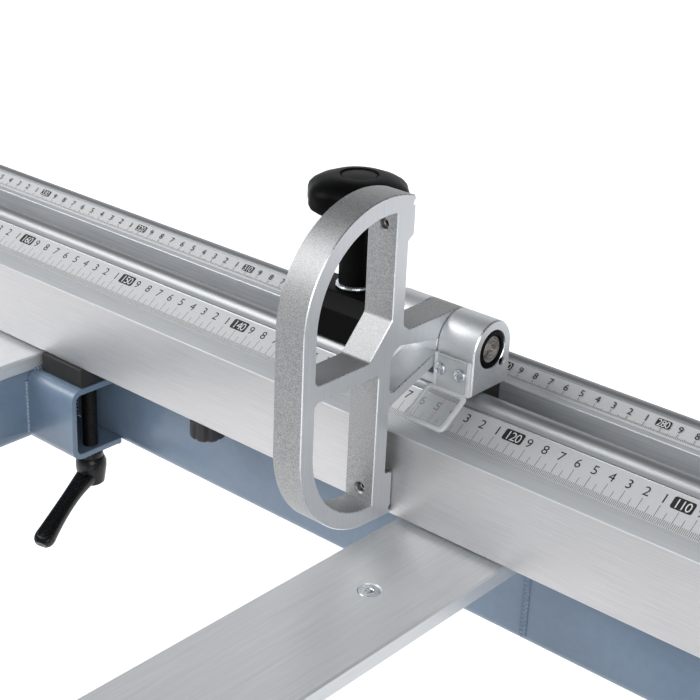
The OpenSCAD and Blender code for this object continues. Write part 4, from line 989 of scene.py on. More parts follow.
        # The tab's middle takes the third finish, painted light for the light through the acrylic.
        shell = Shell().prism(tab, x0 + rim, x1 - rim, Axis.X, 0.0, (), (2, 2, 2))
        for a, b in ((x0, x0 + rim), (x1 - rim, x1)):
            shell.prism(tab, a, b, Axis.X, 0.5, (), (1, 1, 1))
        shell.prism(rectangle(x0 + rim, x1 - rim, 0.6, 3.1 - gap, 0.4, 2), 28.6, 30.5, Axis.Z, 0.4, (),
                    (1, 1, 1))
        shell.prism(rectangle(x0, x1, 0.8, 3.1 - gap, 0.3, 2), 10.6, 12.4, Axis.Z, 0.3, (), (1, 1, 1))
        inner = rectangle(left + rim, x1 - rim, rim, length - rim, 1.6, 4)
        window = Shell().prism(inner, -2.5, -0.1, Axis.Z)
        window.prism(rectangle(left, x1, 0.0, length, 3.2, 6), -2.6, 0.0, Axis.Z, 0.55, (inner,), (1, 1, 1))
        down = Matrix(((1, 0, 0), (0, -cos(slope), sin(slope)), (0, -sin(slope), -cos(slope))))
        shell.join(window.moved(np.array([0.0, 3.0 - rim * sin(slope), 10.1]), down))
        add_piece("clear_cursor", shell, "stop", [CLEAR, FROSTED_LIT, TAB_LIGHT], ("cursor_lens",),
                  FENCE, 25)
        s = np.array([2.5, 21.0])
        y, z = 3.1 - s * cos(slope) + 0.04 * sin(slope), 9.9 - s * sin(slope) - 0.04 * cos(slope)
        line = np.array([(55.6, y[0], z[0]), (55.6, y[1], z[1]), (56.0, y[1], z[1]), (56.0, y[0], z[0])])
        add_piece("red_line", Shell().add(line, [(0, 1, 2, 3)]), "stop", [HAIRLINE], (), FENCE)
        screws = Shell()
        for x in (self.right_block[0] + away for away in self.screw_x):
            screws.join(pan_screw((x, 0.6, self.screw_z), 3.9, 2.2, Axis.Y, -1.0))
            screws.rod(1.5, 0.6, 8.1, (x, 0, self.screw_z), Axis.Y, 20)
        add_piece("cross_screws", screws, "stop", [ZINC], ("cursor_screws",), FENCE)

    def clamp(self) -> None:
        """The black block over the slot, its tongue, and the slot nut below."""
        x0, x1 = self.clamp_x
        m, top = self.slot_mid, self.clamp_top
        line = [(7.154, self.base_z), (7.154, top - 8), (15.154, top), (m + 8, top), (m + 15, top - 8),
                (m + 15, 17.467), (self.slot[1] - 0.3, self.base_z)]
        shell = Shell().prism(fillet(line, {1: 1.5, 2: 1.5, 3: 1.5, 4: 1.5}, 3), x0, x1, Axis.X, 1.2)
        shell.prism(rectangle(self.slot[0] + 0.3, self.slot[1] - 0.3, -9.7, self.base_z + 1, 0.4, 2), x0, x1,
                    Axis.X, 0.4)
        add_piece("clamp_body", shell, "stop", [SATIN_BLACK], ("stop_clamp_block",), FENCE)
        nut = Shell().prism(rectangle(self.slot[0] - 5.2, self.slot[1] + 5.2, -21.7, -10.3, 0.5, 2), x0, 63,
                            Axis.X, 0.5)
        nut.prism(rectangle(self.slot[0] + 0.3, self.slot[1] - 0.3, -11, self.base_z, 0.5, 2), x1 + 1, 63,
                  Axis.X, 0.5)
        add_piece("slot_nut", nut, "stop", [SPACER], ("stop_slot_nut",), FENCE)

    def knob(self) -> None:
        """Lobed knob: its rim is R (1 - w d), where d = 0.06 (1/2 - 1/2 cos 6a)^1.4 makes six flutes."""
        turn = np.linspace(0, 2 * pi, 180, endpoint=False)
        flute = 0.06 * (0.5 - 0.5 * np.cos(6 * (turn - radians(14)))) ** 1.4
        rows = [(0, 2.5, 0), (9.5, 2.5, 0), (9.5, 37, 0), (10.4, 39.5, 0), (14, 42, 0.2), (21, 45, 0.6),
                (26, 47, 0.9), (29, 49, 1), (30, 51, 1), (30, 57.0, 1), (29.4, 59.0, 1), (27.4, 61.2, 0.9),
                (23, 63.8, 0.5), (17.5, 65.8, 0.1), (12.0, 66.9, 0), (11.2, 66.8, 0), (10.8, 65.8, 0),
                (10.2, 65.7, 0), (9.9, 66.2, 0), (5, 66.7, 0), (0, 66.8, 0)]
        r, h, w = np.array(rows).T[:, :, None]
        reach = r * (1 - w * flute[None])
        place = np.stack([reach * np.cos(turn), reach * np.sin(turn), h + 0 * reach], -1)
        at = np.array([sum(self.clamp_x) / 2, self.slot_mid, self.clamp_top + 0.3])
        shell = Shell().grid(place + at, True)
        shell.rod(5, -57, 3, tuple(at), Axis.Z, 24, 1)
        washer = [(5, 0), (10.2, 0), (11, 0.6), (11.2, 1.3), (10.8, 2.1), (9.6, 2.5), (5, 2.5)]
        shell.lathe(washer, tuple(at), Axis.Z, 48, 1)
        add_piece("lobed_knob", shell, "knob", [SATIN_BLACK, ZINC], ("stop_knob",),
                  FENCE, 40)

    def build(self) -> None:
        """Builds every part of the stop."""
        self.plate()
        self.hinge()
        self.cursor()
        self.clamp()
        self.knob()


@dataclass
class Outrigger:
    """Welded support frame with its strips, stubs, clamps and roller; x counts from the blade."""

    members: tuple[float, ...] = (-1591.0, -1218.0, -845.0, -472.0)
    member_w: float = 70.0
    front: float = -330.0
    rear: float = 320.0
    rail_y: float = 151.0
    tube: float = 50.0
    wall: float = 4.0
    low: float = -61.0
    top: float = -11.0
    strip_top: float = -1.0
    slide_left: float = -387.0
    stub: tuple[float, float] = (46.0, 41.0)
    stub_members: tuple[int, int] = (0, 2)
    roller_line: tuple[float, float] = (-366.0, -25.0)
    knob_x: float = -107.0
    lever_turn: float = -75.0
    lever_z: float = -120.306

    def pipe(self, u0: float, u1: float, low: float, high: float, axis: Axis, r: float = 6.0) -> Shell:
        """A square tube with rounded corners, open at both ends."""
        wall = self.wall
        outer = rectangle(u0, u1, self.low, self.top, r, 6)
        inner = rectangle(u0 + wall, u1 - wall, self.low + wall, self.top - wall, r - wall + 1.5, 5)
        return Shell().prism(outer, low, high, axis, 0.4, (inner,))

    def channel(self) -> Outline:
        """The stub's (Y, Z) outline: a bent channel with rounded corners, open towards the rail."""
        y0, y1, t = self.rail_y - self.stub[1], self.rail_y, self.wall
        line: Outline = [(y1, self.low), (y1, self.low + t)]
        line += arc(y0 + 8, self.low + 8, 8 - t, -90, -180, 6) + arc(y0 + 8, self.top - 8, 8 - t, 180, 90, 6)
        line += [(y1, self.top - t), (y1, self.top)]
        return line + arc(y0 + 8, self.top - 8, 8, 90, 180, 8) + arc(y0 + 8, self.low + 8, 8, 180, 270, 8)

    def weld(self, path: np.ndarray, r: float = 1.9) -> Shell:
        """A weld bead: its radius is r (1 + 0.16 sin(2 pi s / 2.6)) at length s in millimetres along it."""
        step = np.linalg.norm(np.diff(path, axis=0), axis=1)
        length = np.concatenate([[0], np.cumsum(step)])
        s = np.arange(0, length[-1], 0.65)
        line = np.stack([np.interp(s, length, path[:, k]) for k in range(3)], 1)
        return Shell().tube(line, r * (1 + 0.16 * np.sin(2 * pi * s / 2.6)), 10)

    def frame(self) -> None:
        """Two rails, four members, two stubs with rounded corners, roller ears and the weld beads."""
        half = self.member_w / 2
        shell = Shell()
        for y in (self.front, self.rail_y):
            shell.join(self.pipe(y, y + self.tube, self.members[0] - half + 2, self.slide_left, Axis.X))
        for x in self.members:
            shell.join(self.pipe(x - half, x + half, self.front, self.rear, Axis.Y))
        stub_x = [self.members[k] for k in self.stub_members]
        for x in stub_x:
            a = x + half
            shell.prism(self.channel(), a - 0.5, a + self.stub[0], Axis.X, 0.4)
            back, end = self.rail_y - self.stub[1], a + self.stub[0] - 2
            for path in (((a, back, self.low + 6), (a, back, self.top - 6)),
                         ((a, back + 6, self.top), (a, self.rail_y - 4, self.top)),
                         ((a + 2, self.rail_y, self.top), (end, self.rail_y, self.top)),
                         ((a + 2, self.rail_y, self.low), (end, self.rail_y, self.low))):
                shell.join(self.weld(np.array(path, float)))
        for x in self.members:
            for edge in (x - half, x + half):
                for y in (self.rail_y, self.front + self.tube):
                    shell.join(self.weld(np.array([(edge, y, self.low + 5), (edge, y, self.top - 5)], float)))
        ear = rectangle(self.front - 60, self.front + 1, self.low + 4, -13.0, 8, 6)
        for x in (self.members[0] - 12, self.members[3] - 12):
            shell.prism(ear, x, x + 12, Axis.X, 0.8, (ring(*self.roller_line, 8.1, 28),))
        piece = add_piece("outrigger_tubes", shell, "table", [BLUE], ("outrigger_frame",))
        for x in stub_x:
            back = self.rail_y - self.stub[1]
            mouth = rectangle(back + 5, self.rail_y - 5, self.low + 5, self.top - 5, 4, 4)
            carve(piece, Shell().prism(mouth, x + half - self.wall - 1, x + half + 0.2, Axis.X), BLADE)
        # The faces inside each stub take SHADE, painted shade for the dark hollow of the channel.
        piece.data.materials.append(SHADE.material())
        remark(piece, self.shaded, BLADE)

    def shaded(self, centre: np.ndarray, normal: np.ndarray) -> np.ndarray:
        """Picks 1, near-black painted shade, for the faces of a stub's hollow, and 0 for the enamelled rest.
        """
        x, y, z = centre.T
        middle = np.array(self.members)[list(self.stub_members)] + self.member_w / 2 + self.stub[0] / 2 - 3
        near = np.abs(x[:, None] - middle).min(1) < self.stub[0] / 2 + 2.5
        hollow = (y > self.rail_y - self.stub[1] + 3.2) & (y < self.rail_y - 1) & (normal[:, 2] < 0.9)
        return (near & hollow & (z > self.low + 3.2) & (z < self.top - 3.2)).astype(int)

    def strips(self) -> None:
        """Smooth alloy strips on the members, each with three sunk screws."""
        shell, heads = Shell(), Shell()
        sink = [(0, -5), (3.2, -5), (6.4, 0), (6.4, 2), (0, 2)]
        for x in self.members:
            shell.box((x - 36, x + 36), (self.front, self.rear), (self.top, self.strip_top), 1.0)
        piece = add_piece("alloy_strips", shell, "table", [STRIP], ("outrigger_strips",))
        for x in self.members:
            for y in (self.front + 40, 60.0, self.rear - 40):
                carve(piece, Shell().lathe(sink, (x, y, self.strip_top), Axis.Z, 28), BLADE)
                heads.prism(ring(x, y, 5.7, 28), self.strip_top - 4.6, self.strip_top - 0.5, Axis.Z, 0.2,
                            (ring(x, y, 2.3, 6),))
                heads.prism(ring(x, y, 3.0, 20), self.strip_top - 5, self.strip_top - 3.2, Axis.Z)
        add_piece("strip_screws", heads, "table", [ZINC])

    def fittings(self) -> None:
        """Black spacers, studs with square heads, the cast clamp levers and the fluted foot knob."""
        spacer, stud = Shell(), Shell()
        for member in self.stub_members:
            u = self.members[member] + self.member_w / 2 + BLADE[0] - FENCE[0]
            at = u + self.stub[0] - 8
            spacer.prism(rectangle(u + 6, u + self.stub[0] - 1, -31.167, 1.0, 0.8, 2), -70.006, -57.006,
                         Axis.Z, 0.6)
            stud.prism(rectangle(at - 8, at + 8, -26.367, -11.967, 0.6, 2), -52.0, -45.3, Axis.Z, 0.5)
            h = np.arange(-145.5, -51.4, 0.25)
            thread = [(4.75 + 0.25 * s, z) for z, s in zip(h, np.tile([-1, 0, 1, 0], len(h) // 4 + 1))]
            stud.lathe([(0, h[0])] + thread + [(0, h[-1])], (at, STUD_Y, 0), Axis.Z, 24)
        add_piece("black_spacers", spacer, "table", [SPACER], ("fence_spacers",), FENCE)
        add_piece("threaded_studs", stud, "table", [DARK_STEEL], ("clamp_studs",), FENCE)
        for name, member in zip(("outer", "inner"), self.stub_members):
            x = self.members[member] + self.member_w / 2 + self.stub[0] - 8
            self.lever(name, x + BLADE[0] - FENCE[0])
        flute = np.linspace(0, 2 * pi, 96, endpoint=False)
        rim = 1 - 0.13 * np.clip(np.cos(8 * flute), 0, 1) ** 1.5
        rows = [(0, -12.6, 0), (7.5, -12.6, 1), (9.6, -12, 1), (10.8, -10.8, 1), (11, -9, 1), (11, -3, 1),
                (10.6, -1.4, 1), (9, -0.4, 0), (4.9, -0.4, 0), (4.9, 5.3, 0), (7.2, 5.3, 0), (7.2, 11.6, 0),
                (0, 11.6, 0)]
        r, h, w = np.array(rows, float).T[:, :, None]
        reach = r * (1 + w * (rim[None] - 1))
        knob = np.stack([reach * np.cos(flute), reach * np.sin(flute), h + 0 * reach], -1)
        knob += np.array([self.knob_x, STUD_Y, FENCE_LOW])
        add_piece("fluted_knob", Shell().grid(knob, True), "foot_knob", [BLACK],
                  ("fence_foot_knob",), FENCE)

    def lever(self, name: str, at: float) -> None:
        """A cast clamp lever: a hub with a collar and a flat straight arm that drops to a thumb end."""
        u = np.linspace(0, 1, 44)
        path = np.stack([1 + 56.5 * u, 0 * u, -17 - 6 * u - 20.5 * u ** 1.5], 1)
        radii = 8.0 - 2.2 * np.sin(pi * np.clip(u / 0.9, 0, 1)) ** 0.8 * (1 - 0.3 * u) - 1.2 * u
        radii[-4:] *= np.array([0.99, 0.95, 0.85, 0.62])
        arm = Shell().tube(path, radii, 24, 0.66, 0, 0.62)
        thumb = [(0, -44.5), (4.6, -44.5), (5.2, -43.8), (5.2, -37), (4.4, -36.4), (3.6, -37.4), (0, -37.6)]
        arm.lathe(thumb, (52.5, 0, 0), Axis.Z, 28)
        hub = [(5.05, -23.6), (7.4, -24), (8.6, -23.0), (10.2, -12), (10.2, -8), (8.6, -4.4), (8.2, -4),
               (8.2, -0.4), (7.8, 0), (5.05, 0), (5.05, -23.6)]
        arm.lathe(hub, (0, 0, 0), Axis.Z, 36)
        arm.lathe([(0, -24.2), (3.6, -24.2), (4.2, -23.6), (4.2, -22), (0, -22)], (0, 0, 0), Axis.Z, 24, 1)
        turn = Matrix.Rotation(radians(self.lever_turn), 4, "Z")
        shell = arm.moved(np.array([at, STUD_Y, self.lever_z]), turn)
        add_piece(f"{name}_lever", shell, f"{name}_lever", [GLOSS_BLACK, DARK_STEEL],
                  (f"{name}_clamp_lever",), FENCE, 30)

    def roller(self) -> None:
        """The long support roller with its end rims and its axle."""
        x0, x1 = self.members[0] + 0.3, self.members[3] - 12.3
        profile = [(0, x0), (22.5, x0), (24, x0 + 1.5), (24, x0 + 12), (23.5, x0 + 12.5), (23.5, x0 + 13.5),
                   (24, x0 + 14), (24, x1 - 14), (23.5, x1 - 13.5), (23.5, x1 - 12.5), (24, x1 - 12),
                   (24, x1 - 1.5), (22.5, x1), (0, x1)]
        centre = (0, *self.roller_line)
        shell = Shell().lathe(profile, centre, Axis.X, 56)
        end0, end1 = self.members[0] - 16, self.members[3] + 4
        axle = [(0, end0), (7.4, end0), (8, end0 + 0.6), (8, end1 - 0.6), (7.4, end1), (0, end1)]
        shell.lathe(axle, centre, Axis.X, 32, 1)
        add_piece("long_roller", shell, "roller", [ANODISED, ZINC], ("support_roller",))

    def build(self) -> None:
        """Builds the frame and all that is clamped to it."""
        self.frame()
        self.strips()
        self.fittings()
        self.roller()


def dress(frame: Frame, node: str, finish: Finish) -> None:
    """Gives every material slot of a CAD node a finish."""
    for slot in frame["nodes"][node].material_slots:
        slot.material = finish.material()


def refine(frame: Frame, node: str, finishes: list[Finish], width: float, rule: Rule | None = None,
           corner: float = 35.0) -> bpy.types.Object:
    """Stands in for a CAD node with a copy whose flat faces are merged and whose edges are rounded.

    Args:
        frame: the loaded frame.
        node: the CAD node.
        finishes: the finishes that the rule's numbers name.
        width: width of the rounded edges in millimetres.
        rule: gives each face its finish; without one they all take the first.
        corner: edges that turn by more than this many degrees are rounded.

    Returns:
        The new piece, which rides on the node's body.
    """
    source = frame["nodes"][node]
    mesh = source.data.copy()
    mesh.materials.clear()
    for finish in finishes:
        mesh.materials.append(finish.material())
    work = bmesh.new()
    work.from_mesh(mesh)
    bmesh.ops.remove_doubles(work, verts=work.verts, dist=MERGE)
    bmesh.ops.dissolve_limit(work, angle_limit=radians(0.5), verts=work.verts, edges=work.edges)
    work.to_mesh(mesh)
    work.free()
    mesh.shade_smooth()
    mesh.set_sharp_from_angle(angle=radians(corner))
    piece = link_object(f"{node}_dressed", mesh)
    soften(piece, width, 2, corner)
    if rule:
        remark(piece, rule, BLADE)
    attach(piece, body_of(source)[0])
    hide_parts(node)
    log.info("%s: %d faces", piece.name, len(piece.data.polygons))
    return piece


def louvre(at: Spot, length: float, height: float, depth: float, side: Axis,
           out: float = 1.0) -> Shell:
    """A pressed louvre; the face under its lip is black, painted shade for the opening behind the lip.

    At a share t down its height and s along its length it stands depth sin(t pi / 2) sqrt(1 - |2 s|^6) off
    the sheet, and drops back to the sheet below the lip.
    """
    s = np.linspace(-0.5, 0.5, 25)
    t = np.append(np.linspace(0, 1, 8), 1.0)
    swell = np.sqrt(np.clip(1 - np.abs(2 * s) ** 6, 0, 1))
    stand = depth * np.append(np.sin(t[:-1] * pi / 2), 0.0)[:, None] * swell
    along = np.broadcast_to(s * length, stand.shape)
    down = np.broadcast_to(-t[:, None] * height, stand.shape)
    parts = [out * stand, along, down] if side is Axis.X else [along, out * stand, down]
    p = np.stack(parts, -1) + np.array(at)
    # Mark 1, black, is painted shade on the face under the lip.
    return Shell().grid(p[:-1]).grid(p[-2:], False, 1)


def gear(radius: float, module: float, count: int, bore: float) -> tuple[Outline, Outline]:
    """A spur gear's outline and bore: on each of count teeth, root, tip, tip and root in turn."""
    turn = np.repeat(np.arange(count) * 2 * pi / count, 4)
    step = np.tile([-0.30, -0.13, 0.13, 0.30], count) * 2 * pi / count
    r = radius + module * np.tile([-1.1, 0.85, 0.85, -1.1], count)
    points = np.stack([r * np.cos(turn + step), r * np.sin(turn + step)], 1)
    return [tuple(p) for p in points], ring(0, 0, bore, 24)


@dataclass
class SlidingTable:
    """Format table on its beam: grooved section, end caps, push handle, lock and roller cage."""

    reach: float = 1600.0
    beam_reach: float = 1450.0
    groove_pitch: float = 24.0
    groove: float = 1.2
    left_grooves: tuple[float, float] = (-365.0, -341.0)
    right_groove: float = -269.0
    handle_y: float = -1540.0
    handle_z: float = 130.0
    handle_posts: tuple[float, float] = (-335.0, -215.0)
    lock_z: float = -45.0
    lock_y: float = -1350.0
    beam_right: float = -240.0

    def section(self) -> Outline:
        """The table's (X, Z) outline, with shallow grooves along its top and the stop slot."""
        inner = self.beam_right + 5
        line: Outline = [(-12, 0), (-12.0, -3), (-90, -38), (inner, -38), (inner, -90), (-387, -90),
                         (-387, -1.0), (-386, 0)]
        g = self.groove
        for x in self.left_grooves:
            line += [(x - g, 0), (x, -g), (x + g, 0)]
        line += [(-307.6, 0), (-307, -0.6), (-307, -8.5), (-313, -8.5), (-313, -17), (-287, -17),
                 (-287, -8.5), (-293, -8.5), (-293, -0.6), (-292.4, 0)]
        for x in self.right_groove + self.groove_pitch * np.arange(10):
            line += [(x - g, 0), (x, -g), (x + g, 0)]
        return line

    def top(self) -> None:
        """The grooved section with two hollows, and the black caps with their screws."""
        inner = self.beam_right + 5
        hollows = (rectangle(-379, -317, -80, -26, 2, 3), rectangle(-300, inner - 12, -80, -26, 2, 3))
        shell = Shell().prism(self.section(), -self.reach + 3, self.reach - 3, Axis.Y, 0.0, hollows)
        add_piece("grooved_table", shell, "table", [SECTION], ("sliding_table",))
        caps = Shell()
        line = [(-12, -0.2), (-12, -3.2), (-90, -38), (inner, -38), (inner, -90), (-387, -90), (-387, -0.2)]
        for y in (-self.reach, self.reach - 3):
            caps.prism(line, y, y + 3, Axis.Y, 0.6)
            for x, z in ((-378, -84), (-308, -30), (inner - 10, -84), (inner - 10, -24)):
                caps.join(pan_screw((x, y + 3 if y > 0 else y, z), 2.8, 0.9, Axis.Y, np.sign(y)).marked(1))
        add_piece("table_caps", caps, "table", [BLACK, ZINC])

    def handle(self) -> None:
        """The push handle: two posts on a foot and a ribbed grip between round ends."""
        shell = Shell()
        centre = (0, self.handle_y, self.handle_z)
        post = [(0, 0.2), (19, 0.2), (19, 7), (17, 10), (11, 12), (10, 16), (10, 118), (0, 118)]
        head = [(0, 112), (17, 112), (18, 114), (18, 143), (16, 146), (0, 146)]
        for x, profile in product(self.handle_posts, (post, head)):
            shell.lathe(profile, (x, self.handle_y, 0), Axis.Z, 40)
        shell.box((-345, -205), (self.handle_y - 19, self.handle_y + 19), (0, 8), 2.0)
        ribs = [(15.0 + 0.9 * (k % 2), -317 + 84 * k / 40) for k in range(41)]
        shell.lathe([(0, -318), (14, -318)] + ribs + [(14, -232), (0, -232)], centre, Axis.X, 40, 1)
        for x0, x1 in ((-350, -348), (-202, -200)):
            shell.lathe([(0, x0), (13, x0), (14, x0 + 0.6), (14, x1 - 0.6), (13, x1), (0, x1)], centre,
                        Axis.X, 32)
        shell.rod(14, -349, -201, centre, Axis.X)
        add_piece("push_bar", shell, "table", [SATIN_BLACK, RUBBER], ("push_handle",))

    def lock(self) -> None:
        """The table's lock: a disc, a flat lever and a red knob at its end."""
        y, z = self.lock_y, self.lock_z
        disc = [(0, -387.3), (15, -387.3), (16, -388), (16, -402), (14, -403), (0, -403)]
        knob = [(0, -391.5), (9, -391.5), (8.5, -402), (10, -408), (12, -414), (11.8, -418), (9, -420.6),
                (0, -421)]
        lock = Shell().lathe(disc, (0, y, z), Axis.X, 40)
        lock.prism(rectangle(y - 9, y + 116, z - 8, z + 8, 7.9, 8), -401, -391.3, Axis.X, 1.5)
        lock.lathe(knob, (0, y + 110, z), Axis.X, 36, 1)
        add_piece("lock_lever", lock, "lock", [SATIN_BLACK, RED], ("table_lock",))

    def beam(self) -> None:
        """The painted beam with its side groove and hollow, and its black end caps."""
        right = self.beam_right
        line = [(-375, -250), (right, -250), (right, -190), (right - 4, -186), (right - 4, -164),
                (right, -160), (right, -100), (-375, -100), (-375, -160), (-371, -164), (-371, -186),
                (-375, -190)]
        outline, end = fillet(line, {0: 3, 1: 3, 6: 2, 7: 2}, 4), self.beam_reach - 4
        hollow = rectangle(-365, right - 10, -244, -106, 3, 4)
        shell = Shell().prism(outline, -end, end, Axis.Y, 0.8, (hollow,))
        add_piece("beam_section", shell, "base", [PALE], ("slide_beam",))
        caps = Shell()
        for toward in (-1.0, 1.0):
            caps.prism(outline, *sorted((toward * end, toward * self.beam_reach)), Axis.Y, 1.2)
            for z, x in product((-239, -111), (-364, right - 11)):
                caps.join(pan_screw((x, toward * self.beam_reach, z), 4.0, 1.6, Axis.Y, toward).marked(1))
        add_piece("beam_caps", caps, "base", [BLACK, ZINC])

    def build(self, frame: Frame) -> None:
        """Builds the table's top, its handle and lock, and the beam, and gives the cage its finish."""
        self.top()
        self.handle()
        self.lock()
        self.beam()
        dress(frame, "roller_cage", CHROME)


@dataclass
class Handwheel:
    """Three-spoked handwheel with a scalloped rim, a bright cap, a turned grip and its shaft."""

    name: str
    body: str
    x: float
    shaft_end: float
    z: float
    front: float = -445.0
    radius: float = 61.0
    rim: float = 9.0
    pinion: tuple[float, int] | None = None

    def ring_shell(self) -> Shell:
        """The rim: its section has radius r (1 - 0.07 (1 + cos 18 a) / 2) on the side of the fingers."""
        around, across = np.meshgrid(np.linspace(0, 2 * pi, 216, endpoint=False), np.linspace(0, 2 * pi, 25),
                                     indexing="ij")
        thick = self.rim * (1 - 0.07 * (1 + np.cos(18 * around)) / 2 * (np.cos(across - pi) > -0.3))
        reach = self.radius + thick * np.cos(across)
        p = np.stack([self.x + reach * np.cos(around), self.front + self.rim + thick * np.sin(across),
                      self.z + reach * np.sin(around)], -1)
        return Shell().grid(np.concatenate([p, p[:1]]))

    def build(self) -> None:
        """Builds the wheel and stands it in for the node of its own name."""
        shell = self.ring_shell()
        centre = (self.x, self.front, self.z)
        hub = [(0, 4), (14, 4), (17, 1), (19.5, 1.5), (20, 4), (20, 22), (17, 30), (16, 44.2), (0, 44.2)]
        shell.lathe(hub, centre, Axis.Y, 48)
        shell.lathe([(0, 0.2), (9, 0.4), (13, 1.8), (13.6, 4.4), (0, 4.4)], centre, Axis.Y, 40, 1)
        reach = np.linspace(14, self.radius - 3, 14)
        level = np.full_like(reach, self.front + self.rim)
        for a in (radians(turn) for turn in (0, 120, 240)):
            path = np.stack([self.x + reach * cos(a), level, self.z - reach * sin(a)], 1)
            shell.join(Shell().tube(path, np.linspace(9.0, 6.8, len(reach)), 20, 0.62))
        a = radians(60)
        grip_at = (self.x + self.radius * cos(a), self.front, self.z - self.radius * sin(a))
        grip = [(0, -59.8), (6, -59.5), (8.4, -57.5), (9, -54), (8.8, -44), (7.6, -26), (7.4, -16), (8.2, -6),
                (8.0, -2), (6, -0.6), (0, -0.6)]
        shell.lathe(grip, grip_at, Axis.Y, 36)
        shell.rod(5, -3, 10, grip_at, Axis.Y, 24, 1)
        shell.rod(9, self.front + 40, self.shaft_end, (self.x, 0, self.z), Axis.Y, 32, 1)
        if self.pinion:
            radius, count = self.pinion
            outline, bore = gear(radius, 2 * radius / count, count, 8.9)
            teeth = Shell().prism(outline, self.shaft_end - 11.5, self.shaft_end, Axis.Y, 0.3, (bore,),
                                  (1, 1, 1))
            shell.join(teeth.moved(np.array([self.x, 0.0, self.z])))
        add_piece(f"{self.body}_dressed", shell, self.body, [SATIN_BLACK, CHROME],
                  (self.name,))


